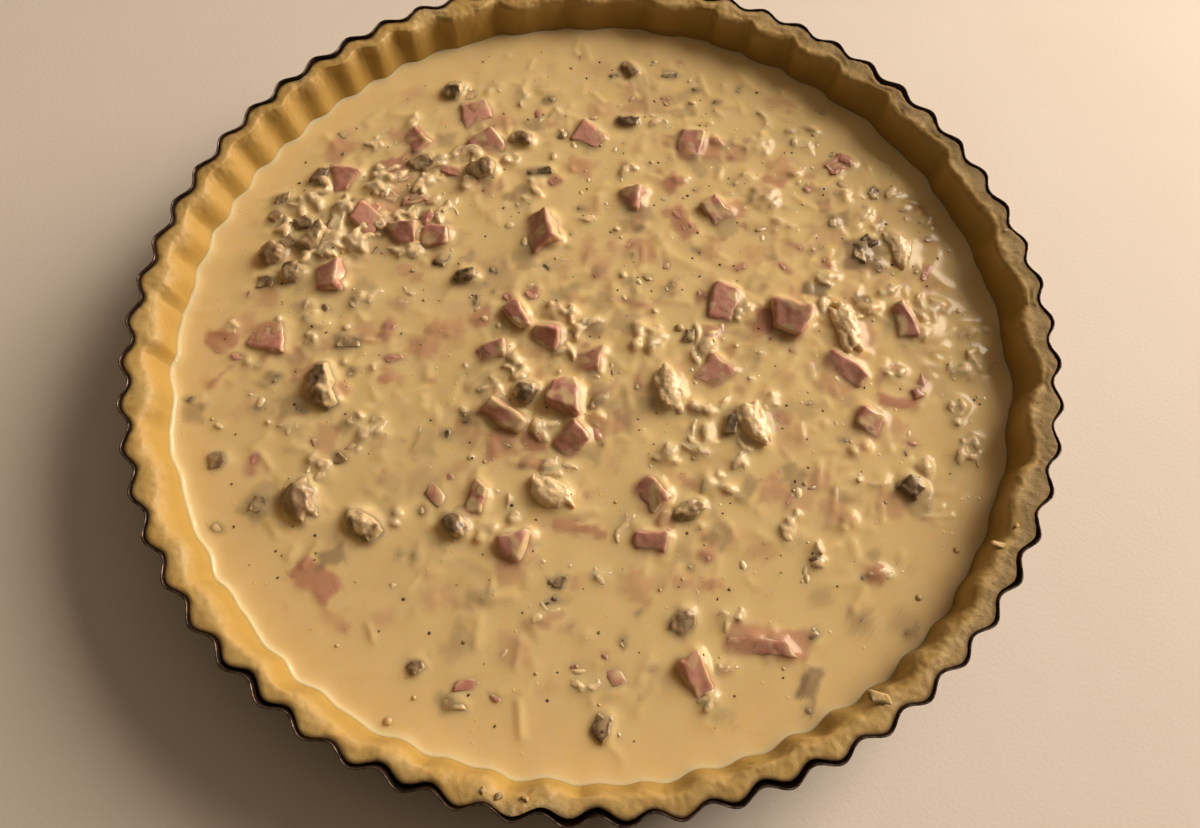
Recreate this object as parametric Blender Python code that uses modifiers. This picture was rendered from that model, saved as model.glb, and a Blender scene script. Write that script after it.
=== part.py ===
"""An unbaked quiche in its fluted tart tin: tin, raw pastry case, custard filling and toppings.

Metres, +Z up. The origin is the middle of the tin's underside, on the table.
"""

import math
import random

import bmesh
import bpy
from mathutils import Matrix, Vector

MM = 0.001

# Driving dimensions
TIN_WIDTH = 280 * MM  # across the crests of the flutes at the rim
TIN_HEIGHT = 35 * MM
SHEET = 0.6 * MM
FLUTES = 62
FLUTE_DEPTH = 2.8 * MM  # crest to trough, at the rim
FIRST_CREST = math.radians(1.5)  # the first crest's bearing, from +X
WALL_FLARE = 0.265  # how far the wall leans out for each unit of height
HEM_WIDTH = 1.1 * MM
HEM_HEIGHT = 1.8 * MM

DOUGH_BELOW_RIM = 1.5 * MM
DOUGH_FLOOR = 5 * MM
DOUGH_LIP = 3.7 * MM  # width of the dough's top, before its inner edge rounds over
LEVEL_BELOW_RIM = 13.3 * MM  # the custard's surface
GAP = 0.4 * MM  # between nested solids

# What follows from them
RIM_RADIUS = (TIN_WIDTH - FLUTE_DEPTH) / 2 - HEM_WIDTH
LEVEL = TIN_HEIGHT - LEVEL_BELOW_RIM
COLUMNS = 4 * FLUTES
COLUMN_START = FIRST_CREST + math.radians(45) / FLUTES


def wall_radius(height):
    """The tin's inner wall, midway between crest and trough."""
    return RIM_RADIUS - WALL_FLARE * (TIN_HEIGHT - height)


def flute_wave(bearing):
    """1 on a crest and -1 in a trough, both flat-topped."""
    wave = math.sqrt(2) * math.cos(FLUTES * (bearing - FIRST_CREST))
    return max(-1.0, min(1.0, wave))


def thumb_wave(bearing):
    """The soft waves that fingers leave in the dough's inner wall, between about -1 and 1."""
    scallops = 0.45 * math.cos(FLUTES / 2 * bearing + 1.1)
    presses = 0.35 * math.cos(23 * bearing + 2.0) + 0.3 * math.cos(9 * bearing + 0.4)
    return scallops + presses


def dough_height(bearing):
    """The dough's top edge rises and falls a little on its way round."""
    return 0.25 * MM * (math.cos(5 * bearing + 0.7) + math.cos(13 * bearing + 2.9))


def colored(name, color, roughness, metallic=0.0):
    material = bpy.data.materials.new(name)
    material.use_nodes = True
    shader = material.node_tree.nodes["Principled BSDF"]
    shader.inputs["Base Color"].default_value = (*color, 1.0)
    shader.inputs["Roughness"].default_value = roughness
    shader.inputs["Metallic"].default_value = metallic
    return material


def add_object(name, mesh, collection, material=None):
    obj = bpy.data.objects.new(name, mesh)
    collection.objects.link(obj)
    if material:
        mesh.materials.append(material)
    return obj


def settled_mesh(obj):
    """The object's mesh with its modifiers applied."""
    graph = bpy.context.evaluated_depsgraph_get()
    mesh = bpy.data.meshes.new_from_object(obj.evaluated_get(graph))
    obj.modifiers.clear()
    obj.data = mesh
    return mesh


def turned(name, profile, steps, collection, material):
    """A solid of revolution. The profile runs from the axis up the inside and down the outer side."""
    mesh = bpy.data.meshes.new(name)
    along = Vector((math.cos(COLUMN_START), math.sin(COLUMN_START), 0))
    points = [along * radius + Vector((0, 0, height)) for radius, height in profile]
    mesh.from_pydata(points, [(i, i + 1) for i in range(len(points) - 1)], [])
    obj = add_object(name, mesh, collection, material)
    screw = obj.modifiers.new("turn", "SCREW")
    screw.steps = screw.render_steps = steps
    screw.use_merge_vertices = True
    screw.merge_threshold = 0.00001
    settled_mesh(obj)
    return obj


def push_walls(mesh, move):
    """Moves each point off the axis by move(bearing, radius, height) = (outwards, upwards)."""
    for vertex in mesh.vertices:
        x, y, height = vertex.co
        radius = math.hypot(x, y)
        if radius < 1 * MM:
            continue
        bearing = math.atan2(y, x)
        outwards, upwards = move(bearing, radius, height)
        scale = (radius + outwards) / radius
        vertex.co = (x * scale, y * scale, height + upwards)


def smooth(obj, angle=40):
    obj.data.shade_smooth()
    obj.data.set_sharp_from_angle(angle=math.radians(angle))


def make_tin(collection):
    """Thin fluted sheet metal with a flat base, thickened to a hem at its rim."""
    base = wall_radius(0)
    hem_foot = TIN_HEIGHT - HEM_HEIGHT
    profile = [
        (0, SHEET),
        (base + WALL_FLARE * SHEET, SHEET),
        (RIM_RADIUS, TIN_HEIGHT),
        (RIM_RADIUS + HEM_WIDTH, TIN_HEIGHT),
        (wall_radius(hem_foot) + SHEET, hem_foot),
        (base + SHEET, 0),
        (0, 0),
    ]
    metal = colored("dark_non_stick_metal", (0.018, 0.012, 0.01), 0.35, 0.6)
    tin = turned("tin", profile, COLUMNS, collection, metal)
    push_walls(tin.data, lambda bearing, radius, height: (FLUTE_DEPTH / 2 * flute_wave(bearing), 0))
    smooth(tin, 50)


def case_inside(height):
    """The dough's inner wall, before the finger waves."""
    lip_height = TIN_HEIGHT - DOUGH_BELOW_RIM
    lip_radius = RIM_RADIUS - 0.5 * MM - DOUGH_LIP
    return lip_radius - 0.33 * (lip_height - height)


def make_pastry(collection):
    """The raw dough that lines the tin: it follows the flutes outside and is nearly smooth inside."""
    top = TIN_HEIGHT - DOUGH_BELOW_RIM
    floor = SHEET + GAP + DOUGH_FLOOR
    inner_edge = 1.2 * MM
    profile = [
        (0, floor),
        (case_inside(floor), floor),
        (case_inside(top) - 0.3 * MM, top - inner_edge),
        (case_inside(top) + inner_edge, top),
        (wall_radius(top) - 0.45 * MM, top - 0.2 * MM),
        (wall_radius(SHEET + GAP) - 0.5 * MM, SHEET + GAP),
        (0, SHEET + GAP),
    ]
    dough = colored("raw_dough", (0.62, 0.40, 0.16), 0.6)
    pastry = turned("pastry", profile, COLUMNS, collection, dough)

    def shape(bearing, radius, height):
        outside = radius > case_inside(height) + 2 * MM
        waves = 0.43 * FLUTE_DEPTH * flute_wave(bearing) if outside else 0.7 * MM * thumb_wave(bearing)
        return waves, dough_height(bearing) if height > top - 2 * MM else 0

    push_walls(pastry.data, shape)
    smooth(pastry, 50)


def make_filling(collection):
    """The custard, a solid up to its level surface inside the dough."""
    floor = SHEET + 2 * GAP + DOUGH_FLOOR
    profile = [
        (0, LEVEL),
        (case_inside(LEVEL) - GAP, LEVEL),
        (case_inside(floor) - GAP, floor),
        (0, floor),
    ]
    custard = colored("custard", (0.68, 0.50, 0.26), 0.25)
    filling = turned("filling", profile, COLUMNS // 2, collection, custard)
    push_walls(filling.data, lambda bearing, radius, height: (0.7 * MM * thumb_wave(bearing), 0))
    merge_flat_faces(filling.data)
    smooth(filling, 30)
    return filling


def merge_flat_faces(mesh):
    """Joins the wedges of a flat top or bottom into one face."""
    shape = bmesh.new()
    shape.from_mesh(mesh)
    bmesh.ops.dissolve_limit(shape, angle_limit=math.radians(0.5), verts=shape.verts, edges=shape.edges)
    shape.to_mesh(mesh)
    shape.free()


# Toppings. Each row is one piece, in millimetres and degrees:
# x, y, length, width, thickness, turn of its length from +X, lean, the bearing it leans to, rise above the custard
HAM = (
    (-43, 88.5, 10, 8.5, 6, 21, 5, 200, 2.0),
    (-38, 75, 9.5, 9.5, 8, 45, 24, 265, 4.0),
    (-62, 76, 9, 7, 6, -50, 15, 200, 2.8),
    (-85.5, 58, 10, 7.5, 6, 82, 5, 180, 2.2),
    (-75.5, 43, 11, 8.5, 7, -38, 12, 300, 4.2),
    (-63, 37, 9, 8, 7, 12, 12, 250, 4.2),
    (-52.5, 37, 8, 7, 7, 0, 18, 260, 3.4),
    (-84, 20, 11, 7.5, 8, 95, 14, 170, 3.8),
    (-101.5, -1.5, 11, 10.5, 6, -4, 4, 240, 1.8),
    (-17.5, 40, 14, 9, 8, 108, 28, 195, 5.0),
    (-3, 79.5, 10.5, 7, 6, -28, 5, 250, 1.8),
    (31.5, 76.5, 12.5, 9, 6, 78, 5, 200, 2.2),
    (12, 53, 9.5, 7, 7, 82, 22, 185, 3.2),
    (40, 50, 9.5, 7.5, 6, -50, 10, 330, 3.2),
    (40.5, 14.5, 12.5, 8, 7, 78, 10, 320, 3.2),
    (62, 10, 12, 10.5, 11, -18, 20, 250, 6.0),
    (78, -8, 14, 6.5, 6, -36, 14, 235, 2.4),
    (37.8, -9.8, 10.5, 9, 6, 44, 6, 250, 2.2),
    (-14, 1, 8.5, 8, 9, -8, 32, 240, 4.8),
    (-24, 8, 10, 4.5, 8, -52, 18, 215, 4.5),
    (-31.5, -5.5, 9.5, 5.5, 6, 18, 10, 200, 2.6),
    (-2.5, -7, 11, 6.5, 6, 4, 6, 260, 1.9),
    (-9, -19.5, 10.5, 9.5, 9, -12, 14, 320, 7.0),
    (-5.8, -32.8, 9, 7.5, 9, 48, 24, 280, 5.0),
    (-26.5, -26, 13, 5.5, 8, -35, 24, 245, 5.0),
    (19, -49.5, 9.5, 7, 8, -48, 22, 200, 3.6),
    (-33, -53, 10.5, 5.5, 6, 76, 8, 180, 2.3),
    (-20, -67.5, 9, 7.5, 8, 84, 22, 190, 4.0),
    (17.5, -64.8, 9, 6, 5, -2, 5, 260, 1.9),
    (47.5, -93.2, 18.5, 5.5, 5, -6, 6, 300, 2.0),
    (29.5, -102.5, 13.5, 6, 7, -67, 16, 320, 3.6),
    (98.5, 9, 12.5, 5.5, 6, -75, 14, 195, 3.0),
    (84, -25.5, 9, 8, 6, -28, 10, 320, 3.0),
)
# x, y, length, width, thickness, turn of its length from +X, rise above the custard
MUSHROOMS = (
    (-51.5, 98, 9, 6.5, 8, 62, 3.8),
    (10.5, 109.5, 9, 5.5, 6, -52, 2.6),
    (-40, 63.5, 11.5, 7.5, 8, 12, 4.4),
    (-26.5, 77.5, 8.5, 5.5, 7, -14, 3.2),
    (-105, 27.5, 9, 8, 9, 40, 4.6),
    (-97, 20.5, 7, 6.5, 8, 80, 4.2),
    (-92, 34.5, 13, 7, 9, 62, 4.6),
    (-41.5, 21.5, 9, 5, 7, 20, 3.4),
    (-82, -18, 17, 8, 10, -74, 5.2),
    (-20.5, -20, 9.5, 6.5, 10, 75, 5.4),
    (10.5, 86, 9, 5, 6, -4, 2.0),
    (-84.5, -55, 13.5, 10, 9, -66, 4.2),
    (-64, -62.5, 13.5, 7.5, 9, -40, 4.6),
    (-38, -61, 9, 6.5, 8, -50, 4.0),
    (29, -55, 12, 6, 8, 30, 3.6),
    (26.5, -87.2, 9.5, 8.5, 5, 75, 1.6),
    (94, -47, 8.5, 7.5, 7, -40, 3.6),
)
# the same columns: lumps of cheese under a coat of custard
CHEESE = (
    (80, 6.5, 17.5, 10, 8, 104, 4.2),
    (99.8, 37, 16.5, 8, 7, -76, 3.0),
    (23.5, -16.8, 16.5, 7.5, 9, -82, 5.0),
    (48.5, -27.5, 16.5, 8, 9, -62, 4.6),
    (-11.5, -51, 14, 11, 9, -38, 4.0),
)


def bearing_vector(degrees):
    return Vector((math.cos(math.radians(degrees)), math.sin(math.radians(degrees)), 0))


def triangulate(mesh):
    """Fixes how each bent face is split, so that a piece and its pocket have the same faces."""
    shape = bmesh.new()
    shape.from_mesh(mesh)
    bmesh.ops.triangulate(shape, faces=shape.faces)
    shape.to_mesh(mesh)
    shape.free()


def skew(points, chance):
    """Leans and tapers a box about its middle. Its faces stay flat, and no two boxes come out alike."""
    lean_x, lean_y, slant, taper = [chance.uniform(-0.16, 0.16) for _ in range(4)]
    longest = max(point.co.x for point in points)
    for point in points:
        x, y, z = point.co
        point.co = (x + slant * y + lean_x * z, y * (1 + taper * x / longest) + lean_y * z, z)


def float_piece(obj, x, y, turn, lean, towards, rise):
    """Turns and leans the piece, then sets its highest point at its rise above the custard."""
    triangulate(obj.data)
    lean_axis = Vector((0, 0, 1)).cross(bearing_vector(towards))
    turned_and_leant = Matrix.Rotation(math.radians(lean), 4, lean_axis)
    turned_and_leant @= Matrix.Rotation(math.radians(turn), 4, "Z")
    highest = max((turned_and_leant @ vertex.co).z for vertex in obj.data.vertices)
    place = Matrix.Translation((x * MM, y * MM, LEVEL + rise * MM - highest))
    obj.matrix_world = place @ turned_and_leant


def cut_ham(name, row, collection, material):
    """A diced piece with slightly rounded edges, and the rough block that it comes from."""
    x, y, length, width, thickness, turn, lean, towards, rise = row
    shape = bmesh.new()
    bmesh.ops.create_cube(shape, size=1.0)
    bmesh.ops.scale(shape, vec=Vector((length, width, thickness)) * MM, verts=shape.verts)
    skew(shape.verts, random.Random(name))
    mesh = bpy.data.meshes.new(name)
    shape.to_mesh(mesh)
    shape.free()
    block = mesh.copy()
    obj = add_object(name, mesh, collection, material)
    bevel = obj.modifiers.new("rounded_edges", "BEVEL")
    bevel.width = 0.7 * MM
    bevel.segments = 1
    bevel.limit_method = "NONE"
    settled_mesh(obj)
    float_piece(obj, x, y, turn, lean, towards, rise)
    return obj, block


def round_lump(name, row, squareness, roughness, collection, material):
    """A sliced or torn piece: an ellipsoid, part way to a box by its squareness, with an uneven skin."""
    x, y, length, width, thickness, turn, rise = row
    chance = random.Random(name)
    shape = bmesh.new()
    bmesh.ops.create_uvsphere(shape, u_segments=8, v_segments=4, radius=1.0)
    mesh = bpy.data.meshes.new(name)
    shape.to_mesh(mesh)
    shape.free()
    half = Vector((length, width, thickness)) * MM / 2
    for vertex in mesh.vertices:
        fullness = chance.uniform(1 - roughness, 1 + roughness)
        for axis in range(3):
            along = vertex.co[axis]
            vertex.co[axis] = math.copysign(abs(along) ** (1 - squareness), along) * half[axis] * fullness
    obj = add_object(name, mesh, collection, material)
    float_piece(obj, x, y, turn, chance.uniform(2, 10), chance.uniform(0, 360), rise)
    return obj, obj.data.copy()


def add_pocket(piece, block, growth, collection):
    """The piece's block, grown all round: it cuts the piece's seat out of the custard."""
    pocket = bpy.data.objects.new("pocket_" + piece.name, block)
    collection.objects.link(pocket)
    pocket.matrix_world = piece.matrix_world
    normals = [item.vector.copy() for item in block.vertex_normals]
    for vertex, normal in zip(block.vertices, normals):
        vertex.co += normal * growth
    pocket.hide_render = True
    pocket.display_type = "WIRE"


def make_toppings(collection, pockets):
    ham = colored("ham", (0.50, 0.22, 0.18), 0.35)
    mushroom = colored("mushroom", (0.09, 0.055, 0.035), 0.4)
    cheese = colored("coated_cheese", (0.72, 0.55, 0.32), 0.3)
    corner_growth = GAP * math.sqrt(3)  # moves each face of a box by the gap
    for i, row in enumerate(HAM, 1):
        piece, block = cut_ham(f"ham_{i:02d}", row, collection, ham)
        smooth(piece)
        add_pocket(piece, block, corner_growth, pockets)
    lumps = [(f"mushroom_{i:02d}", row, 0.35, 0.10, mushroom) for i, row in enumerate(MUSHROOMS, 1)]
    lumps += [(f"cheese_{i:02d}", row, 0.2, 0.14, cheese) for i, row in enumerate(CHEESE, 1)]
    for name, row, squareness, roughness, material in lumps:
        piece, block = round_lump(name, row, squareness, roughness, collection, material)
        smooth(piece)
        add_pocket(piece, block, 1.3 * GAP, pockets)


def main():
    for obj in list(bpy.data.objects):
        bpy.data.objects.remove(obj, do_unlink=True)
    quiche = bpy.data.collections.new("quiche")
    pockets = bpy.data.collections.new("pockets")
    pockets.hide_render = True
    for collection in (quiche, pockets):
        bpy.context.scene.collection.children.link(collection)
    make_tin(quiche)
    make_pastry(quiche)
    filling = make_filling(quiche)
    make_toppings(quiche, pockets)
    seats = filling.modifiers.new("seats", "BOOLEAN")
    seats.operation = "DIFFERENCE"
    seats.solver = "EXACT"
    seats.operand_type = "COLLECTION"
    seats.collection = pockets


main()
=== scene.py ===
"""The looks of an unbaked quiche in its fluted tin: metal, raw dough, wet custard and what floats in it."""

import math
import random

import bpy
import numpy as np
from mathutils import Matrix, Vector, noise


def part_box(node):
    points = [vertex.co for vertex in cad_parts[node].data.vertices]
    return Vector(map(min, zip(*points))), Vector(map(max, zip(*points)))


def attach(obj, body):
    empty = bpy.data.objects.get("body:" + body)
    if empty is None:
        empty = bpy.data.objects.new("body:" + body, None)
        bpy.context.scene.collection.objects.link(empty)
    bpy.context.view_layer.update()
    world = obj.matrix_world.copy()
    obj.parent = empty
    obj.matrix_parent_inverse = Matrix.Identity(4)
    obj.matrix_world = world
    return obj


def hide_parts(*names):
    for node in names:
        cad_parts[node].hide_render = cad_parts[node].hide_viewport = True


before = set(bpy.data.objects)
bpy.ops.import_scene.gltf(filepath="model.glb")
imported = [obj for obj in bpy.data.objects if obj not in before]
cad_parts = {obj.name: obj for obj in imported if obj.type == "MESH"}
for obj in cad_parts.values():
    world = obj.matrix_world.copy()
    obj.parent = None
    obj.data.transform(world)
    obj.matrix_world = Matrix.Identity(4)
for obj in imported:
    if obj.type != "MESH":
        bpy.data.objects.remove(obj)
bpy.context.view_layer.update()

MM = 0.001

# ---------------------------------------------------------------------------
# Sizes. What model.glb knows is read from it, and the rest is in metres or degrees.

tin_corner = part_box("tin")[1]
RIM = tin_corner.z  # the tin's top edge
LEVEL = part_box("filling")[1].z  # the custard's surface
FLUTES = 62
FLUTE_DEPTH = 2.8 * MM  # crest to trough
FIRST_CREST = math.radians(1.5)
HEM_WIDTH = 0.7 * MM
HEM_RADIUS = 0.28 * MM  # of the rolled edge
SHEET = 0.5 * MM  # thickness of the metal
WALL_FLARE = 0.265  # how far the wall leans out for each metre of height
RIM_RADIUS = tin_corner.x - FLUTE_DEPTH / 2 - HEM_WIDTH  # inner wall at the rim, halfway up a flute
DOUGH_TOP = RIM - 0.5 * MM
DOUGH_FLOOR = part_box("filling")[0].z - 0.4 * MM
DOUGH_LIP = 4.6 * MM  # how far the dough's top reaches in from the tin
DOUGH_FLARE = 0.33
FLUTE_FILLED = 0.48  # of the flutes' depth, that the dough stands out and in by

DOUGH_COLUMNS = 32  # in one flute
TIN_COLUMNS = 12  # in one flute

CUSTARD_CELLS = 132  # cells across the custard before the busy places are divided again
DIVIDED_SHARES = (0.58, 0.26)  # of the cells that are divided at each turn, the busiest first
DIVIDED_AT_WALL = 1.6 * MM  # all cells this near the dough are divided too
RASTER_CELL = 0.4 * MM  # of the map that the custard's shape and stains are worked out on
RASTER_HALF = 130 * MM
WALL_OVERLAP = 0.9 * MM  # how far the custard reaches into the dough, so that no gap shows
SEEDS = {
    "shreds": 7, "bits": 17, "specks": 31, "crumbs": 41, "sunk ham": 11, "sunk mushroom": 12, "ridges": 13,
}
LIT_FLANK = 35  # bearing of the side that faces the window: the pieces stand up on it, and their cream film is most there, partly coating and partly painted highlight


# ---------------------------------------------------------------------------
# Small helpers

def deselect_all():
    for other in bpy.context.selected_objects:
        other.select_set(False)


def alone(obj):
    """Makes this the only selected object, and the active one."""
    deselect_all()
    obj.select_set(True)
    bpy.context.view_layer.objects.active = obj


def start_editing(action="SELECT", parts="FACE"):
    """Goes into edit mode with all of the active object's vertices, edges or faces selected, or none."""
    bpy.ops.object.mode_set(mode="EDIT")
    bpy.ops.mesh.select_mode(type=parts)
    bpy.ops.mesh.select_all(action=action)


def stop_editing():
    bpy.ops.object.mode_set(mode="OBJECT")


def new_object(name, data):
    obj = bpy.data.objects.new(name, data)
    bpy.context.scene.collection.objects.link(obj)
    return obj


def apply_modifier(obj, kind, **settings):
    alone(obj)
    modifier = obj.modifiers.new(kind.lower(), kind)
    for key, value in settings.items():
        setattr(modifier, key, value)
    bpy.ops.object.modifier_apply(modifier=modifier.name)


def read_all(items, key, kind=float, columns=3):
    """One row for each vertex, edge or face, of what it says for this key."""
    values = np.empty(len(items) * columns, kind)
    items.foreach_get(key, values)
    return values.reshape(-1, columns)


def points_of(obj):
    return read_all(obj.data.vertices, "co")


def set_points(obj, points):
    obj.data.vertices.foreach_set("co", np.asarray(points, np.float32).ravel())
    obj.data.update()


def smoothstep(low, high, value):
    t = np.clip((value - low) / (high - low), 0, 1)
    return t * t * (3 - 2 * t)


def hills(points, size, seed=0.0, full_range=1.6):
    """Smooth random hills about this far across, from about -1 to 1, at each point."""
    return np.array([noise.noise(point) for point in (points / size + seed).tolist()]) * full_range


def cos_sin(degrees):
    return math.cos(math.radians(degrees)), math.sin(math.radians(degrees))


def add_attributes(obj, **fields):
    for name, values in fields.items():
        attribute = obj.data.attributes.new(name, "FLOAT", "POINT")
        attribute.data.foreach_set("value", np.asarray(values, np.float32))


def smooth_shade(obj, angle=180):
    alone(obj)
    if angle >= 180:
        bpy.ops.object.shade_smooth()
    else:
        bpy.ops.object.shade_smooth_by_angle(angle=math.radians(angle))


def finish_piece(obj, material, slot, *nodes):
    obj.data.materials.clear()
    obj.data.materials.append(material)
    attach(obj, "root")
    if nodes:
        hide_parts(*nodes)


def turned_shell(name, profile, columns):
    """A ring of points, extruded from one (radius, height) to the next and capped at both ends."""
    deselect_all()
    radius, height = profile[0]
    start = (0, 0, height)
    bpy.ops.mesh.primitive_circle_add(vertices=columns, radius=radius, fill_type="NGON", location=start)
    shell = bpy.context.object
    shell.name = name
    bpy.ops.object.transform_apply(location=True)
    start_editing(parts="VERT")
    bpy.ops.mesh.delete(type="ONLY_FACE")
    bpy.ops.mesh.select_all(action="SELECT")
    bpy.ops.mesh.edge_face_add()
    bpy.ops.mesh.select_all(action="SELECT")
    for next_radius, next_height in profile[1:]:
        rise = {"value": (0, 0, next_height - height)}
        bpy.ops.mesh.extrude_edges_move(TRANSFORM_OT_translate=rise)
        share = next_radius / radius
        bpy.ops.transform.resize(value=(share, share, 1), center_override=(0, 0, next_height))
        radius, height = next_radius, next_height
    bpy.ops.mesh.edge_face_add()
    bpy.ops.mesh.select_all(action="SELECT")
    bpy.ops.mesh.normals_make_consistent(inside=False)
    stop_editing()
    return shell


def rings_and_bearings(shell, profile):
    """For each point of a turned shell, which point of the profile it comes from, and its bearing."""
    points = points_of(shell)
    radius = np.hypot(points[:, 0], points[:, 1])
    away = [np.abs(radius - r) + np.abs(points[:, 2] - h) for r, h in profile]
    return np.argmin(away, axis=0), np.arctan2(points[:, 1], points[:, 0])


def around(bearing, centre, half_width):
    """1 at this bearing in degrees, falling smoothly to 0 that many degrees to each side."""
    apart = np.degrees(np.abs(np.angle(np.exp(1j * (bearing - math.radians(centre))))))
    return smoothstep(half_width, 0, apart)


def marked(bearing, rows):
    """The sum of marks round the rim, each a bearing, a half width in degrees and how strong it is."""
    return sum(around(bearing, centre, half_width) * strength for centre, half_width, strength in rows)


# ---------------------------------------------------------------------------
# Material helpers

def set_socket(socket, value):
    if isinstance(value, bpy.types.NodeSocket):
        socket.node.id_data.links.new(value, socket)
    elif socket.type == "RGBA":
        socket.default_value = (*value, 1)
    else:
        socket.default_value = value


def set_inputs(node, values):
    """Sets or links a node's inputs. A key is the socket's name, with _ for a space, or i and its number."""
    for key, value in values.items():
        by_number = key[0] == "i" and key[1:].isdigit()
        set_socket(node.inputs[int(key[1:]) if by_number else key.replace("_", " ")], value)


def add_node(tree, kind, settings=None, **inputs):
    """A shader node. Its settings are attributes."""
    node = tree.nodes.new("ShaderNode" + kind)
    for key, value in (settings or {}).items():
        setattr(node, key, value)
    set_inputs(node, inputs)
    return node


def new_material(name, **settings):
    """A Principled material with numbers on the shader's own sockets, its tree and its Object coordinates."""
    material = bpy.data.materials.new(name)
    material.use_nodes = True
    shader = material.node_tree.nodes["Principled BSDF"]
    set_inputs(shader, settings)
    return material, material.node_tree, object_place(material.node_tree)


def finish_material(material, **surface):
    """Links what changes over the surface to the shader."""
    set_inputs(material.node_tree.nodes["Principled BSDF"], surface)
    return material


def object_place(tree):
    return add_node(tree, "TexCoord").outputs["Object"]


def height_of(tree, place):
    return add_node(tree, "SeparateXYZ", Vector=place).outputs[2]


def attribute_value(tree, name):
    return add_node(tree, "Attribute", {"attribute_name": name}).outputs["Fac"]


def calculate(tree, operation, first, second):
    return add_node(tree, "Math", {"operation": operation}, i0=first, i1=second).outputs[0]


def remap(tree, value, old, new=(0.0, 1.0)):
    """The value, moved from the old range to the new one, smoothly and without running over."""
    ends = {"From_Min": old[0], "From_Max": old[1], "To_Min": new[0], "To_Max": new[1]}
    return add_node(tree, "MapRange", {"interpolation_type": "SMOOTHSTEP"}, Value=value, **ends).outputs[0]


def blend_colors(tree, share, first, second):
    return add_node(tree, "Mix", {"data_type": "RGBA"}, i0=share, i6=first, i7=second).outputs[2]


def noise_value(tree, size, detail=2.0, roughness=0.5):
    """Procedural noise whose blobs are about this many metres across."""
    return unit_noise(tree, object_place(tree), Scale=1 / size, Detail=detail, Roughness=roughness)


def unit_noise(tree, place, **settings):
    return add_node(tree, "TexNoise", Vector=place, **{"Scale": 1.0, **settings}).outputs["Fac"]


def bump(tree, height, strength, distance):
    return add_node(tree, "Bump", Height=height, Strength=strength, Distance=distance).outputs[0]


def new_group(name, inputs, outputs):
    """A shader node group with named sockets. inputs maps each name to its kind and default."""
    group = bpy.data.node_groups.new(name, "ShaderNodeTree")
    for label, (kind, default) in inputs.items():
        socket = group.interface.new_socket(label, in_out="INPUT", socket_type="NodeSocket" + kind)
        socket.default_value = (*default, 1) if kind == "Color" else default
    for label, kind in outputs.items():
        group.interface.new_socket(label, in_out="OUTPUT", socket_type="NodeSocket" + kind)
    return group, group.nodes.new("NodeGroupInput").outputs, group.nodes.new("NodeGroupOutput").inputs


def use_group(tree, group, **inputs):
    node = tree.nodes.new("ShaderNodeGroup")
    node.node_tree = group
    set_inputs(node, inputs)
    return node.outputs


def in_units_of(tree, size, place):
    """The place divided by a size, so that noise of unit scale has blobs of that size."""
    spread = add_node(tree, "CombineXYZ", X=size, Y=size, Z=size)
    return add_node(tree, "VectorMath", {"operation": "DIVIDE"}, i0=place, i1=spread.outputs[0]).outputs[0]


def patches(tree, place, main, other, size, amount=1.0):
    """The main colour, with soft patches of the other in it."""
    given = {"Place": place, "Main": main, "Other": other, "Size": size, "Amount": amount}
    return use_group(tree, uneven_color, **given)["Color"]


def grain_height(tree, place, size, fine_share=0.4):
    return use_group(tree, grain, Place=place, Size=size, Fine_share=fine_share)["Height"]


# ---------------------------------------------------------------------------
# Colours, linear

CREAM = (0.79, 0.607, 0.30)
CREAM_LIGHT = (0.79, 0.62, 0.37)
CREAM_SHADE = (0.71, 0.525, 0.24)
CREAM_COAT = (0.73, 0.56, 0.315)
CREAM_EDGE_HIGHLIGHT = (0.92, 0.69, 0.43)  # painted highlight along the meniscus, where it climbs the dough
CHEESE = (0.80, 0.60, 0.325)
CHEESE_LIGHT = (0.83, 0.645, 0.395)
HAM_DARK = (0.41, 0.168, 0.118)
HAM_LIGHT = (0.65, 0.33, 0.255)
HAM_SUNK = (0.50, 0.225, 0.155)
MUSHROOM_DARK = (0.045, 0.028, 0.016)
MUSHROOM_BROWN = (0.33, 0.215, 0.112)
MUSHROOM_SUNK = (0.30, 0.215, 0.13)
DOUGH_GOLD = (0.50, 0.325, 0.095)
DOUGH_PALE = (0.54, 0.385, 0.15)
DOUGH_DEEP = (0.44, 0.25, 0.06)
DOUGH_WALL = (0.46, 0.29, 0.068)
# painted shade on the dough's crumbly top
DOUGH_TOP_SHADE = (0.25, 0.175, 0.07)
DOUGH_FLOUR = (0.60, 0.48, 0.29)
DOUGH_EDGE_SHADE = (0.085, 0.045, 0.016)  # painted shade where the dough's outer edge rolls down beside the tin
METAL_DARK = (0.017, 0.008, 0.005)
METAL_BROWN = (0.034, 0.016, 0.010)
METAL_WORN = (0.20, 0.15, 0.12)
PEPPER_DARK = (0.045, 0.026, 0.012)
PEPPER_LIGHT = (0.15, 0.085, 0.04)
HERB_DARK = (0.13, 0.10, 0.02)
HERB_LIGHT = (0.30, 0.22, 0.04)
BUBBLE_DEEP = (0.50, 0.34, 0.14)
BUBBLE_LIGHT = (0.66, 0.48, 0.22)
TABLE = (0.83, 0.76, 0.69)
TABLE_SHADE = (0.80, 0.725, 0.65)
WINDOW_LIGHT = (1.0, 0.85, 0.70)
CEILING_LIGHT = (1.0, 0.72, 0.45)
ROOM_LIGHT = (1.0, 0.75, 0.50)


# ---------------------------------------------------------------------------
# Shared effects

ANYWHERE = ("Vector", (0, 0, 0))


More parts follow.
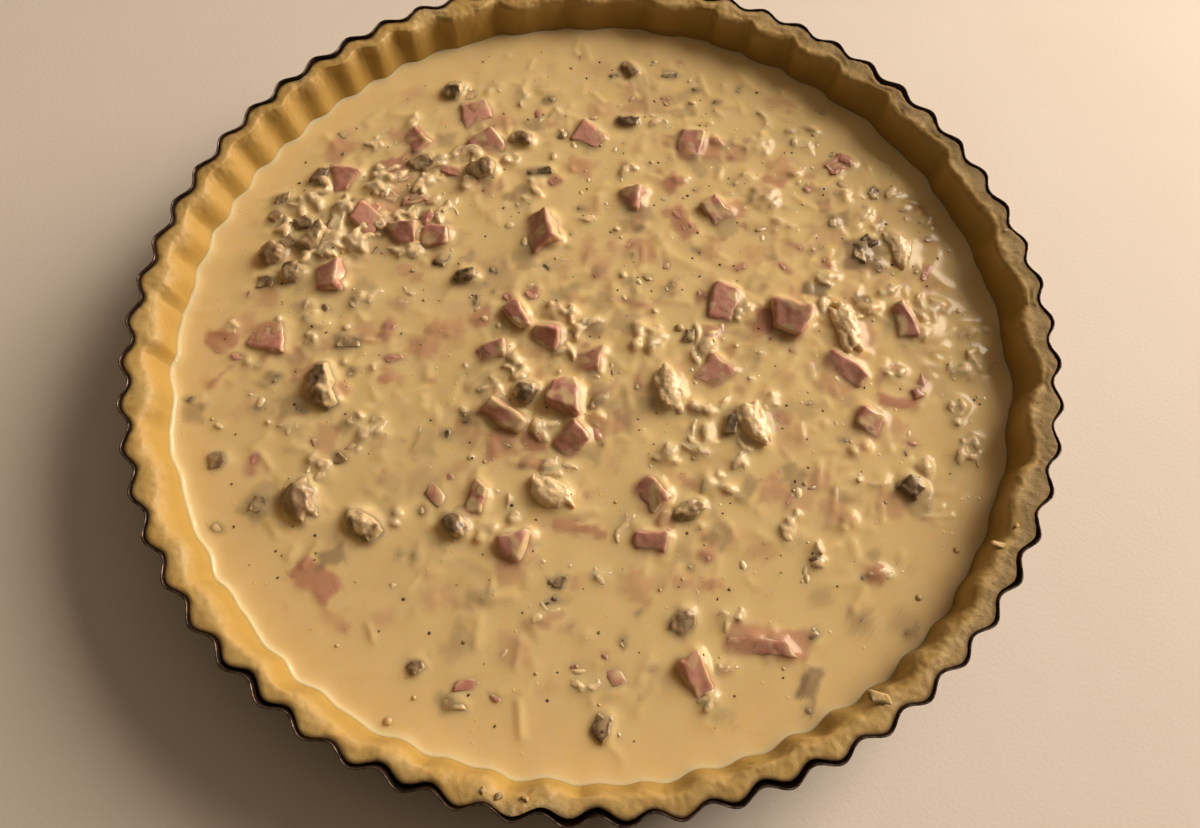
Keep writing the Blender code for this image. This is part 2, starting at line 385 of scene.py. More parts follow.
def make_uneven_color():
    """Mixes two colours in soft patches of several sizes."""
    given_kinds = {
        "Place": ANYWHERE, "Main": ("Color", (1, 1, 1)), "Other": ("Color", (0, 0, 0)),
        "Size": ("Float", 0.01), "Amount": ("Float", 1.0),
    }
    group, given, out = new_group("uneven_color", given_kinds, {"Color": "Color"})
    blobs = unit_noise(group, in_units_of(group, given["Size"], given["Place"]), Detail=3.0, Roughness=0.6)
    mask = calculate(group, "MULTIPLY", remap(group, blobs, (0.36, 0.66)), given["Amount"])
    set_socket(out["Color"], blend_colors(group, mask, given["Main"], given["Other"]))
    return group


def make_grain():
    """Height of fine grain in two sizes, for a Bump node."""
    given_kinds = {"Place": ANYWHERE, "Size": ("Float", 0.001), "Fine share": ("Float", 0.4)}
    group, given, out = new_group("grain", given_kinds, {"Height": "Float"})
    place = in_units_of(group, given["Size"], given["Place"])
    coarse = unit_noise(group, place, Detail=1.0)
    fine = calculate(group, "MULTIPLY", unit_noise(group, place, Scale=2.7, Detail=1.0), given["Fine share"])
    set_socket(out["Height"], calculate(group, "ADD", coarse, fine))
    return group


def make_cream_coat():
    """Where custard clings to a floating piece: as its film attribute says, with ragged edges."""
    given_kinds = {
        "Place": ANYWHERE, "Bare": ("Color", (0.5, 0.5, 0.5)), "Cream": ("Color", CREAM),
        "Film": ("Float", 0.0), "Patch size": ("Float", 0.003), "Raggedness": ("Float", 0.5),
    }
    group, given, out = new_group("cream_coat", given_kinds, {"Color": "Color", "Mask": "Float"})
    place = in_units_of(group, given["Patch size"], given["Place"])
    blobs = unit_noise(group, place, Detail=3.0, Roughness=0.6, Distortion=0.4)
    ragged = calculate(group, "MULTIPLY", calculate(group, "SUBTRACT", blobs, 0.5), given["Raggedness"])
    mask = remap(group, calculate(group, "ADD", given["Film"], ragged), (0.1, 0.95))
    set_socket(out["Color"], blend_colors(group, mask, given["Bare"], given["Cream"]))
    set_socket(out["Mask"], mask)
    return group


uneven_color = make_uneven_color()
grain = make_grain()
cream_coat = make_cream_coat()


# ---------------------------------------------------------------------------
# Materials. What glows inside is given by how far red, green and blue light goes in, and the scale of that.

def make_tin_material():
    material, tree, place = new_material("dark_non_stick_tin", IOR=1.4)
    rubbed = remap(tree, height_of(tree, place), (RIM - 0.35 * MM, RIM - 0.02 * MM))
    scratches = remap(tree, noise_value(tree, size=2.5 * MM, detail=4.0, roughness=0.7), (0.42, 0.62))
    wear = calculate(tree, "MULTIPLY", rubbed, scratches)
    coat = patches(tree, place, METAL_DARK, METAL_BROWN, size=9 * MM)
    return finish_material(
        material,
        Base_Color=blend_colors(tree, wear, coat, METAL_WORN),
        Metallic=remap(tree, wear, (0.0, 1.0), (0.35, 0.9)),
        Roughness=remap(tree, noise_value(tree, size=1.2 * MM, detail=3.0), (0.3, 0.7), (0.28, 0.46)),
        Normal=bump(tree, grain_height(tree, place, 0.5 * MM), strength=0.25, distance=0.05 * MM),
    )


def make_dough_material():
    """Gold with pale patches, floury where it crumbles, with painted shade on its crumbly top, deeper down
    its wall, and painted shade at its outer edge beside the tin.
    """
    material, tree, place = new_material(
        "raw_shortcrust", Roughness=0.6, IOR=1.45, Subsurface_Weight=0.4, Subsurface_Radius=(1.0, 0.45, 0.15),
        Subsurface_Scale=1.6 * MM,
    )
    crumbly = attribute_value(tree, "crumbly")
    pale = patches(tree, place, DOUGH_GOLD, DOUGH_PALE, size=11 * MM, amount=0.7)
    color = patches(tree, place, pale, DOUGH_FLOUR, size=1.0 * MM, amount=crumbly)
    # painted shade darkens the crumbly top
    dusty = remap(tree, attribute_value(tree, "dusty"), (0.15, 0.9), (0.0, 0.75))
    blobs = noise_value(tree, size=1.4 * MM, detail=3.0, roughness=0.7)
    specks = remap(tree, blobs, (0.60, 0.72), (0.0, 0.5))
    # darker and more orange lower down the inner wall
    low_on_wall = remap(tree, height_of(tree, place), (DOUGH_TOP - 7.5 * MM, DOUGH_TOP - 1.5 * MM), (1.0, 0.0))
    # painted shade on the dough's outer edge, beside the tin
    thin = attribute_value(tree, "thin")
    for share, tint in ((dusty, DOUGH_TOP_SHADE), (specks, DOUGH_DEEP), (low_on_wall, DOUGH_WALL), (thin, DOUGH_EDGE_SHADE)):
        color = blend_colors(tree, share, color, tint)
    rough_share = remap(tree, crumbly, (0.0, 1.0), (0.35, 0.6))
    depth = calculate(tree, "MULTIPLY", grain_height(tree, place, 0.7 * MM, fine_share=0.6), rough_share)
    return finish_material(
        material, Base_Color=color, Roughness=remap(tree, crumbly, (0.0, 1.0), (0.5, 0.8)),
        Normal=bump(tree, depth, strength=0.6, distance=0.3 * MM),
    )


def make_custard_material():
    """Cream, with a painted highlight where it is raised and along its edge at the dough, soft stains over
    sunk pieces, and tiny domes of bubbles.
    """
    material, tree, place = new_material(
        "raw_custard", IOR=1.36, Subsurface_Weight=0.75, Subsurface_Radius=(1.0, 0.6, 0.25),
        Subsurface_Scale=4.0 * MM,
    )
    height = height_of(tree, place)
    swirls = patches(tree, place, CREAM, CREAM_SHADE, size=16 * MM, amount=0.25)
    color = patches(tree, place, swirls, CREAM_LIGHT, size=3.5 * MM, amount=0.3)
    # painted highlight: the custard is made paler where it is raised above its level
    raised_highlight = remap(tree, height, (LEVEL + 0.3 * MM, LEVEL + 2.2 * MM), (0.0, 0.8))
    color = blend_colors(tree, raised_highlight, color, CREAM_LIGHT)
    # the sunk stains are the pieces' own colour under the custard; the wall mark is a painted highlight along
    # the meniscus
    for stain, tint in (("sunk_ham", HAM_SUNK), ("sunk_mushroom", MUSHROOM_SUNK), ("at_wall", CREAM_EDGE_HIGHLIGHT)):
        color = blend_colors(tree, attribute_value(tree, stain), color, tint)
    rough_share = remap(tree, height, (LEVEL + 0.2 * MM, LEVEL + 1.5 * MM), (0.06, 0.5))
    depth = calculate(tree, "MULTIPLY", grain_height(tree, place, 0.9 * MM, fine_share=0.3), rough_share)
    cells = add_node(tree, "TexVoronoi", {"feature": "F1"}, Vector=place, Scale=1 / (3.2 * MM))
    dome = remap(tree, cells.outputs["Distance"], (0.0, 0.2), (1.0, 0.0))
    cell_number = add_node(tree, "SeparateColor", Color=cells.outputs["Color"]).outputs[0]
    chosen = remap(tree, cell_number, (0.45, 0.95))
    depth = calculate(tree, "ADD", depth, calculate(tree, "MULTIPLY", dome, chosen))
    return finish_material(
        material, Base_Color=color,
        Roughness=remap(tree, noise_value(tree, size=6 * MM), (0.35, 0.65), (0.11, 0.18)),
        Normal=bump(tree, depth, strength=0.5, distance=0.3 * MM),
    )


def make_coated_material(name, dark, light, patch, raggedness, depth):
    """Ham or mushroom with wet custard clinging to it."""
    material, tree, place = new_material(
        name, IOR=1.42, Subsurface_Weight=0.5, Coat_Weight=0.25, Coat_Roughness=0.1,
        Subsurface_Radius=(1.0, 0.45, 0.28), Subsurface_Scale=1.3 * MM,
    )
    own = blend_colors(tree, attribute_value(tree, "tone"), dark, light)
    bare = patches(tree, place, own, light, size=patch, amount=0.6)
    bare = patches(tree, place, bare, light, size=patch / 5, amount=0.35)
    coat = use_group(
        tree, cream_coat, Place=place, Bare=bare, Cream=CREAM_COAT, Film=attribute_value(tree, "film"),
        Patch_size=2.0 * MM, Raggedness=raggedness,
    )
    film_edge = calculate(tree, "MULTIPLY", coat["Mask"], 0.8)
    height = calculate(tree, "ADD", grain_height(tree, place, 1.2 * MM, fine_share=0.5), film_edge)
    return finish_material(
        material, Base_Color=coat["Color"], Roughness=remap(tree, coat["Mask"], (0.0, 1.0), (0.36, 0.24)),
        Normal=bump(tree, height, strength=0.6, distance=depth),
    )


def make_cheese_material():
    """Shreds of cheese that are wet with custard all over, with a painted highlight where they stand up."""
    material, tree, place = new_material(
        "coated_cheese", IOR=1.40, Subsurface_Weight=0.5, Coat_Weight=0.2, Coat_Roughness=0.06,
        Subsurface_Radius=(1.0, 0.75, 0.45), Subsurface_Scale=1.0 * MM,
    )
    clots = patches(tree, place, CHEESE, CHEESE_LIGHT, size=3.5 * MM, amount=0.6)
    # painted highlight: the cheese is made paler where it stands above the custard
    raised_highlight = remap(tree, height_of(tree, place), (LEVEL + 0.3 * MM, LEVEL + 2.5 * MM), (0.0, 0.8))
    fine = grain_height(tree, place, 1.1 * MM, fine_share=0.6)
    return finish_material(
        material, Base_Color=blend_colors(tree, raised_highlight, clots, CHEESE_LIGHT),
        Roughness=remap(tree, noise_value(tree, size=3 * MM), (0.35, 0.65), (0.12, 0.2)),
        Normal=bump(tree, fine, strength=0.5, distance=0.2 * MM),
    )


def make_plain_material(name, main, other, roughness, patch, amount, grain_size, strength, depth, **settings):
    """Two close colours in patches, and fine grain."""
    material, tree, place = new_material(name, Roughness=roughness, **settings)
    return finish_material(
        material, Base_Color=patches(tree, place, main, other, patch, amount),
        Normal=bump(tree, grain_height(tree, place, grain_size), strength, depth),
    )


def make_speck_material(name, dark, light, roughness):
    return make_plain_material(
        name, dark, light, roughness, patch=2 * MM, amount=1.0, grain_size=0.3 * MM, strength=0.3,
        depth=0.05 * MM, IOR=1.45,
    )


tin_material = make_tin_material()
dough_material = make_dough_material()
custard_material = make_custard_material()
ham_material = make_coated_material(
    "cured_ham", HAM_DARK, HAM_LIGHT, patch=7 * MM, raggedness=0.5, depth=0.1 * MM
)
mushroom_material = make_coated_material(
    "cooked_mushroom", MUSHROOM_DARK, MUSHROOM_BROWN, patch=6 * MM, raggedness=0.6, depth=0.2 * MM
)
cheese_material = make_cheese_material()
pepper_material = make_speck_material("black_pepper", PEPPER_DARK, PEPPER_LIGHT, roughness=0.5)
herb_material = make_speck_material("dried_herb", HERB_DARK, HERB_LIGHT, roughness=0.6)
bubble_material = make_speck_material("bubble_skin", BUBBLE_DEEP, BUBBLE_LIGHT, roughness=0.1)
floor_material = make_plain_material(
    "pale_table", TABLE, TABLE_SHADE, roughness=0.75, patch=60 * MM, amount=0.5, grain_size=1.2 * MM,
    strength=0.35, depth=0.12 * MM,
)


# ---------------------------------------------------------------------------
# Tin

# Corners of the tin's section, in mm out from the wall's foot and up from the table, or from the sheet on it
OUTER_CORNER = ((-6.0, 0.0), (-1.2, 0.0), (0.1, 0.15), (0.75, 0.8))
INNER_CORNER = ((-0.5, 0.3), (-1.6, 0.0), (-6.0, 0.0))
WALL_HEIGHTS = np.linspace(2.0, 32.5, 9) * MM
UNDER_BEAD = (1.0, 2.5)  # mm below the rim, on the inner wall
BEAD_TURNS = np.linspace(-75, 175, 11)  # degrees round the rolled edge


def flute_wave(bearing):
    """1 on a crest and -1 in a trough."""
    return np.cos(FLUTES * (bearing - FIRST_CREST))


def wall_radius(height):
    return RIM_RADIUS - WALL_FLARE * (RIM - height)


def make_tin():
    """Turned from the underside, up the outer wall, round the rolled edge and down inside, then fluted."""
    foot = wall_radius(0)
    outer = [(foot + out * MM, up * MM) for out, up in OUTER_CORNER]
    outer += [(wall_radius(height) + SHEET, height) for height in WALL_HEIGHTS]
    bead_radius, bead_height = RIM_RADIUS + HEM_RADIUS, RIM - HEM_RADIUS
    bead = [(bead_radius + HEM_RADIUS * c, bead_height + HEM_RADIUS * s) for c, s in map(cos_sin, BEAD_TURNS)]
    inner_heights = [RIM - down * MM for down in UNDER_BEAD] + list(WALL_HEIGHTS[::-2])
    inner = [(wall_radius(height), height) for height in inner_heights]
    inner += [(foot + out * MM, SHEET + up * MM) for out, up in INNER_CORNER]
    profile = outer + bead + inner
    tin = turned_shell("fluted_tin", profile, FLUTES * TIN_COLUMNS)
    bearing = rings_and_bearings(tin, profile)[1]
    points = points_of(tin)
    radius = np.hypot(points[:, 0], points[:, 1])
    depth = FLUTE_DEPTH / 2 * smoothstep(foot - 4 * MM, foot - 0.2 * MM, radius)  # none on the flat base
    points[:, :2] *= ((radius + depth * flute_wave(bearing)) / radius)[:, None]
    set_points(tin, points)
    smooth_shade(tin, angle=50)
    finish_piece(tin, tin_material, "tin_coating", "tin")


# ---------------------------------------------------------------------------
# Dough

# Bearings where fingers left a crease in the dough's inner wall, in degrees
CREASES = (
    5, 17, 31, 44, 52, 60, 67, 73, 84, 96, 107, 116, 122.5, 128.5, 134, 140, 146, 152, 158, 164.5, 171, 178,
    186, 196, 208, 217.5, 225.5, 233.5, 243, 252.5, 262, 270, 279, 289, 299, 307.5, 319, 331, 342, 353,
)
# Marks round the rim: bearing, half width in degrees, how strong. The inner wall follows the tin's flutes
FLUTED = ((147, 42, 1.0), (235, 62, 0.45), (302, 45, 1.0))
# The dough has shrunk away from the tin, by this many mm
SHRUNK = (
    (43, 9, 1.3), (133, 18, 0.9), (232, 10, 1.1), (251, 9, 1.3), (270, 10, 1.4), (291, 11, 1.2),
    (328, 7, 0.7),
)
# Its top is dry and crumbly, and the third number is how strongly painted shade darkens it
CRUMBLY = ((264, 7, 0.0), (116, 4, 0.5), (138, 3, 0.5), (35, 62, 1.0), (338, 42, 1.0), (90, 16, 1.0))
BROAD = ((312, 46, 1.0),)  # its top reaches furthest in
ROLLED = ((215, 95, 1.8),)  # it is one smooth roll
EVEN = ((300, 45, 1.5),)  # and its inner line doesn't follow the flutes here either
LEAST_FLUTED = 0.3
SHORTEST_FALL, LONGER_FALL = 0.14, 0.36  # shares of a pillow where it falls back, pressed and fluted

SLOW_WAVES = ((0.35, 9, 0.4), (0.25, 23, 2.0))  # of the inner wall: depth in mm, how many round it, phase
SWELL_DEPTH = 0.12 * MM
SWELLS = ((5, 0.7), (13, 2.9))  # of the top: how many round it, phase
SCALLOP_DEPTH, BROAD_SCALLOPS = 0.75, 0.1  # mm
PILLOW_DEPTH, PILLOW_TOP_DEPTH = 1.6, 2.2  # mm at the custard, and how much more at the top
PILLOW_RISE = 0.3 * MM
PRESSED_IN, BROAD_IN = 3.0, 2.6  # mm that the top reaches further in where it is pressed, or broad

# How many rings each part of its section has, from its underside over its top to its inner wall
SECTION_RINGS = (2, 3, 5, 6, 10, 11)
OUTER_RINGS, OUTER_TURN, TOP_RINGS, INNER_TURN, WALL_RINGS = SECTION_RINGS[1:]
FIRST_OUTER, FIRST_TURN, FIRST_TOP, FIRST_INNER, FIRST_WALL, FIRST_FLOOR = np.cumsum(SECTION_RINGS).tolist()
QUARTER = math.pi / 2
OUTER_CLEAR = 0.6 * MM  # between nominal dough and tin
WALL_FOOT = LEVEL - 1.5 * MM  # where the inner wall's fine rings end, under the custard
ROLL_PASSES = 14
UNDERSIDE = 1.0 * MM
OUTER_WALL = (10 * MM, DOUGH_TOP - 3 * MM)  # heights that its outer rings lie between
INNER_WALL = (DOUGH_TOP - 2.2 * MM, WALL_FOOT)
GAP_HEIGHTS = (20 * MM, 31 * MM)  # a gap opens between these heights
NARROWEST_TOP, NARROWEST_LINE = 1.2 * MM, 0.6 * MM


def pillows(bearing):
    """Rises slowly from 0 to 1 on each soft swelling, and falls back steeply where the next one starts."""
    degrees = np.degrees(bearing) % 360
    edges = np.array([CREASES[-1] - 360, *CREASES, CREASES[0] + 360])
    index = np.searchsorted(edges, degrees, side="right") - 1
    share = (degrees - edges[index]) / (edges[index + 1] - edges[index])
    fall = SHORTEST_FALL + LONGER_FALL * flute_share(bearing)
    return smoothstep(-0.1, 0.9 - fall, share) * smoothstep(1.0, 1 - fall, share)


def flute_share(bearing):
    """How strongly the inner wall follows the tin's flutes, and not the fingers that pressed it in."""
    return np.clip(LEAST_FLUTED + (1 - LEAST_FLUTED) * marked(bearing, FLUTED), 0, 1)


def case_inside(height):
    """The dough's inner wall before its waves."""
    return RIM_RADIUS - DOUGH_LIP - DOUGH_FLARE * (DOUGH_TOP - height)


def inner_waves(bearing, down=1.0):
    """How far the inner wall stands out from its mean circle, at the top (down 0) or the custard (1)."""
    share = flute_share(bearing)
    broad = marked(bearing, BROAD)
    upper = 1 - np.clip(down, 0, 1)
    slow = sum(depth * MM * np.cos(count * bearing + phase) for depth, count, phase in SLOW_WAVES)
    scallops = (SCALLOP_DEPTH + BROAD_SCALLOPS * broad * upper) * MM * flute_wave(bearing) * share
    pillow_depth = (PILLOW_DEPTH + PILLOW_TOP_DEPTH * upper) * MM
    pressed = (0.55 - pillows(bearing)) * pillow_depth * (1.15 - share)
    reach_in = (PRESSED_IN * (1 - share) + BROAD_IN * broad) * MM * upper
    return scallops + slow + pressed - reach_in


def dough_height(bearing):
    swell = SWELL_DEPTH * sum(np.cos(count * bearing + phase) for count, phase in SWELLS)
    return DOUGH_TOP + swell + PILLOW_RISE * (pillows(bearing) - 0.5) * (1.1 - flute_share(bearing))


def dough_profile():
    """Nominal (radius, height) of each ring of the dough, from its underside round to its floor."""
    corner = wall_radius(1.2 * MM)
    base = [(corner - 8 * MM, UNDERSIDE), (corner - 0.9 * MM, UNDERSIDE)]
    outer = [(wall_radius(height) - OUTER_CLEAR, height) for height in np.linspace(*OUTER_WALL, OUTER_RINGS)]
    rim_out, rim_in = wall_radius(DOUGH_TOP) - OUTER_CLEAR, RIM_RADIUS - DOUGH_LIP
    turn = [(rim_out - 0.2 * MM * i, DOUGH_TOP - 1.5 * MM + 0.3 * MM * i) for i in range(OUTER_TURN)]
    top = [(radius, DOUGH_TOP) for radius in np.linspace(rim_out - 1.1 * MM, rim_in + 1.2 * MM, TOP_RINGS)]
    inner = [(rim_in + 1 * MM - 0.1 * MM * i, DOUGH_TOP - 0.15 * MM * (i + 1)) for i in range(INNER_TURN)]
    wall = [(case_inside(height), height) for height in np.linspace(*INNER_WALL, WALL_RINGS)]
    floor = [(case_inside(DOUGH_FLOOR), DOUGH_FLOOR), (case_inside(DOUGH_FLOOR) - 8 * MM, DOUGH_FLOOR)]
    return base + outer + turn + top + inner + wall + floor


def between(ring, first, after):
    return (ring >= first) & (ring < after)


def smooth_roll(radius, height, ring, bearing, calm):
    """Evens out the rings over the crest, where it is calm, by moving each towards its two neighbours."""
    order = np.lexsort((bearing, ring))
    rows = np.column_stack([radius, height])[order].reshape(ring.max() + 1, -1, 2)
    softness = calm[order].reshape(len(rows), -1, 1)[0]
    first, after = FIRST_TURN + 2, FIRST_WALL + 2
    for _ in range(ROLL_PASSES):
        middles = 0.25 * rows[:-2] + 0.5 * rows[1:-1] + 0.25 * rows[2:]
        rows[first:after] += softness * (middles[first - 1:after - 1] - rows[first:after])
    radius[order], height[order] = rows.reshape(-1, 2).T


def make_pastry():
    """Turned as a plain case, and then each part of its section goes where the marks and waves put it."""
    profile = dough_profile()
    dough = turned_shell("pastry_case", profile, FLUTES * DOUGH_COLUMNS)
    ring, bearing = rings_and_bearings(dough, profile)
    nominal = np.array(profile)[ring]
    radius, height = nominal[:, 0].copy(), nominal[:, 1].copy()

    wave, share = flute_wave(bearing), flute_share(bearing)
    gap = sum(around(bearing, centre, half) * wide * MM for centre, half, wide in SHRUNK)
    crumb = np.clip(sum(around(bearing, centre, half) for centre, half, _ in CRUMBLY), 0, 1)
    # how strongly painted shade darkens the top, round the rim
    dusty = np.clip(marked(bearing, CRUMBLY), 0, 1)
    rolled = np.clip(marked(bearing, ROLLED), 0, 1)
    calm = np.clip(rolled + marked(bearing, EVEN), 0, 1)
    is_outer = between(ring, FIRST_OUTER, FIRST_TURN)
    is_turn = between(ring, FIRST_TURN, FIRST_TOP)
    is_top = between(ring, FIRST_TOP, FIRST_INNER)
    is_inner = between(ring, FIRST_INNER, FIRST_WALL)
    is_wall = between(ring, FIRST_WALL, FIRST_FLOOR)

    # Outer wall, against the tin but for the gaps
    outside = wall_radius(height) - 0.15 * MM + FLUTE_FILLED * FLUTE_DEPTH * wave
    radius = np.where(is_outer, outside - gap * smoothstep(*GAP_HEIGHTS, height), radius)

    # Turn to the top: a crumbly edge is crisp and doesn't fill the crests, and a rolled one is rounded
    top = dough_height(bearing)
    shy = 0.08 * crumb * (1 + wave)
    rim_out = wall_radius(DOUGH_TOP) - 0.1 * MM - gap + (FLUTE_FILLED * wave - shy) * FLUTE_DEPTH
    out_round = np.maximum(3.0 - 2.3 * crumb - 1.3 * rolled, 0.7) * MM
    turn = (ring - FIRST_TURN + 0.5) / OUTER_TURN * QUARTER
    radius = np.where(is_turn, rim_out - out_round * (1 - np.cos(turn)), radius)
    height = np.where(is_turn, top - out_round * (0.14 + 0.2 * rolled) * (1 - np.sin(turn)), height)

    # Top, which slopes down inwards to its shoulder
    rim_in = RIM_RADIUS - DOUGH_LIP + inner_waves(bearing, 0)
    in_round = (1.9 + 1.5 * share) * MM
    in_drop = (0.8 + 0.7 * share) * in_round
    shoulder = top - (0.6 * (1 - share) + 0.2 * rolled) * MM
    across = (ring - FIRST_TOP) / (TOP_RINGS - 1)
    start = rim_out - out_round
    end = np.minimum(rim_in + in_round, start - NARROWEST_TOP)
    in_line = start - FLUTE_FILLED * FLUTE_DEPTH * (1 + wave)
    plain_end = np.minimum(rim_in + in_round, in_line - NARROWEST_LINE)
    end = end + (plain_end - end) * calm
    radius = np.where(is_top, start + (end - start) * across, radius)
    height = np.where(is_top, top + (shoulder - top) * across ** 1.5, height)

    # Turn inwards, and the inner wall down to below the custard
    turn = (ring - FIRST_INNER + 0.7) / INNER_TURN * QUARTER
    radius = np.where(is_inner, rim_in + (end - rim_in) * (1 - np.sin(turn)), radius)
    height = np.where(is_inner, shoulder - in_drop * (1 - np.cos(turn)), height)
    down = (ring - FIRST_WALL + 0.6) / WALL_RINGS
    wall_top = shoulder - in_drop
    wall_height = wall_top + (WALL_FOOT - wall_top) * np.clip(down, 0, 1)
    slope = (case_inside(WALL_FOOT) - RIM_RADIUS + DOUGH_LIP) / (WALL_FOOT - wall_top)
    wall_in = RIM_RADIUS - DOUGH_LIP + slope * (wall_height - wall_top)
    radius = np.where(is_wall, wall_in + inner_waves(bearing, down * 1.25), radius)
    height = np.where(is_wall, wall_height, height)
    smooth_roll(radius, height, ring, bearing, calm)

    # Lumps all over what shows, and crumbs where it is dry, most towards the tin
    points = np.column_stack([radius * np.cos(bearing), radius * np.sin(bearing), height])
    on_top = np.where(is_top | is_turn | is_inner, 1.0, 0.0)
    outward = np.where(is_turn, 1.0, np.where(is_top, 1 - 0.65 * smoothstep(0.2, 1.0, across), 0.1))
    rough = on_top * (0.08 + 0.92 * crumb * outward)
    lumps = 0.16 * MM * hills(points, 4 * MM) + 0.10 * MM * hills(points, 1.6 * MM, seed=3.3)
    clumps = np.maximum(hills(points, 1.8 * MM, seed=9.4), 0)
    crumbs = 0.09 * MM * hills(points, 0.9 * MM, seed=7.1) + 0.12 * MM * clumps
    shown = between(ring, FIRST_TURN, FIRST_FLOOR)
    lift = np.where(shown, lumps * (0.5 + 0.5 * on_top) + crumbs * rough, 0)
    inward = np.where(ring >= FIRST_INNER, -1.0, 0.0)
    upward = np.where(ring < FIRST_WALL, 1.0, 0.15)
    points[:, 0] += lift * inward * np.cos(bearing)
    points[:, 1] += lift * inward * np.sin(bearing)
    points[:, 2] = np.minimum(points[:, 2] + lift * upward, RIM - 0.05 * MM)
    set_points(dough, points)

    from_tin = (rim_out - radius) / MM
    # painted shade along the outer edge next to the tin, less where it crumbles
    thin = (1 - 0.8 * crumb) * np.where(ring < FIRST_INNER, smoothstep(1.6, 0.0, from_tin), 0)
    add_attributes(dough, crumbly=rough, dusty=on_top * (0.08 + 0.92 * dusty * outward), thin=thin)
    smooth_shade(dough)
    finish_piece(dough, dough_material, "raw_pastry", "pastry")


# ---------------------------------------------------------------------------
# Toppings that have a node of their own

VOXEL = 0.42 * MM
LUMP_VOXEL = 0.36 * MM
CORE_VOXEL = 0.6 * MM
CLOT_VOXEL = 0.5 * MM
BIT_VOXEL = 0.4 * MM


def copy_of_node(node, name):
    """A new object with the node's mesh, its loose triangles merged."""
    piece = new_object(name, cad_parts[node].data.copy())
    alone(piece)
    start_editing()
    bpy.ops.mesh.remove_doubles(threshold=0.01 * MM)
    stop_editing()
    return piece


def nodes_of(kind):
    return sorted(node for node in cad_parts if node.startswith(kind))


def clouds(name, size):
    texture = bpy.data.textures.new(name, "CLOUDS")
    texture.noise_scale = size
    texture.noise_depth = 1
    return texture


flesh_relief = clouds("flesh_relief", 2.6 * MM)
ham_outline = clouds("ham_outline", 6.5 * MM)
mushroom_outline = clouds("mushroom_outline", 5.5 * MM)
cheese_relief = clouds("cheese_relief", 1.6 * MM)
cheese_curds = clouds("cheese_curds", 0.9 * MM)
CUT_SIDES = ((ham_outline, 2.2 * MM, "X"), (mushroom_outline, 2.2 * MM, "Y"))
HAM_RELIEFS = (*CUT_SIDES, (flesh_relief, 0.25 * MM))
MUSHROOM_RELIEFS = ((mushroom_outline, 1.9 * MM), (flesh_relief, 0.9 * MM))
LUMP_RELIEFS = ((cheese_relief, 0.4 * MM), (cheese_curds, 0.2 * MM))
CLOT_RELIEFS = ((cheese_relief, 0.25 * MM), (cheese_curds, 0.2 * MM))


def rebuild(piece, voxel, *reliefs, smoothing):
    """Fine even faces and softened edges, then the relief of each texture, along the normal or one axis."""
    apply_modifier(piece, "REMESH", mode="VOXEL", voxel_size=voxel)
    apply_modifier(piece, "SMOOTH", factor=0.5, iterations=smoothing)
    for texture, depth, *axis in reliefs:
        settings = {"texture": texture, "strength": depth, "direction": axis[0] if axis else "NORMAL"}
        apply_modifier(piece, "DISPLACE", texture_coords="LOCAL", mid_level=0.5, **settings)
    smooth_shade(piece)


floating = {"ham": [], "mushroom": [], "lump": [], "shred": []}


def lean(piece, slope, towards, sink):
    """Tips a piece, so that the side at this bearing stands up and the other goes under."""
    points = points_of(piece)
    beside = points - points.mean(0)
    c, s = cos_sin(towards)
    points[:, 2] += slope * (beside[:, 0] * c + beside[:, 1] * s) - sink
    set_points(piece, points)


def cut_unevenly(piece, chance, taper=0.38):
    """Tapers a diced piece a little, and cuts its sides so that they slope, most on the lit flank."""
    points = points_of(piece)
    middle = points.mean(0)
    beside = points - middle
    half = np.abs(beside).max(0)
    share = beside / half
    beside[:, 0] *= 1 + chance.uniform(-taper, taper) * share[:, 1]
    beside[:, 1] *= 1 + chance.uniform(-taper, taper) * share[:, 0]
    on_top = (points[:, 2] > LEVEL)[:, None]
    flow = np.array(cos_sin(LIT_FLANK))
    pared = beside[:, :2] * chance.uniform(0.93, 1.07) - flow * half[:2] * chance.uniform(0.0, 0.12)
    beside[:, :2] = np.where(on_top, pared, beside[:, :2])
    set_points(piece, middle + beside)


def make_floating_pieces():
    """Each diced or sliced piece, made from its node."""
    for kind, prefix, material, slopes, reliefs in (
        ("ham", "diced_", ham_material, (0.06, 0.28), HAM_RELIEFS),
        ("mushroom", "sliced_", mushroom_material, (0.0, 0.22), MUSHROOM_RELIEFS),
    ):
        for node in nodes_of(kind):
            chance = random.Random(node)
            piece = copy_of_node(node, prefix + node)
            cut_unevenly(piece, chance)
            lean(piece, chance.uniform(*slopes), LIT_FLANK + chance.gauss(0, 40), chance.uniform(-0.2, 0.25) * MM)
            rebuild(piece, VOXEL, *reliefs, smoothing=3)
            finish_piece(piece, material, kind, node)
            floating[kind].append(piece)


# ---------------------------------------------------------------------------
# Shreds, bits and flecks: one model each, repeated into a joined mesh

def unit_model(segments, rings, squareness=0.0):
    """Points and faces of a ball one unit in radius, squared towards a bar along Z."""
    deselect_all()
    bpy.ops.mesh.primitive_uv_sphere_add(segments=segments, ring_count=rings, radius=1.0, location=(0, 0, 0))
    ball = bpy.context.object
    points, faces = points_of(ball), faces_of(ball)
    bpy.data.objects.remove(ball, do_unlink=True)
    return np.sign(points) * np.abs(points) ** (1 - squareness), faces


def faces_of(obj):
    return [tuple(face.vertices) for face in obj.data.polygons]


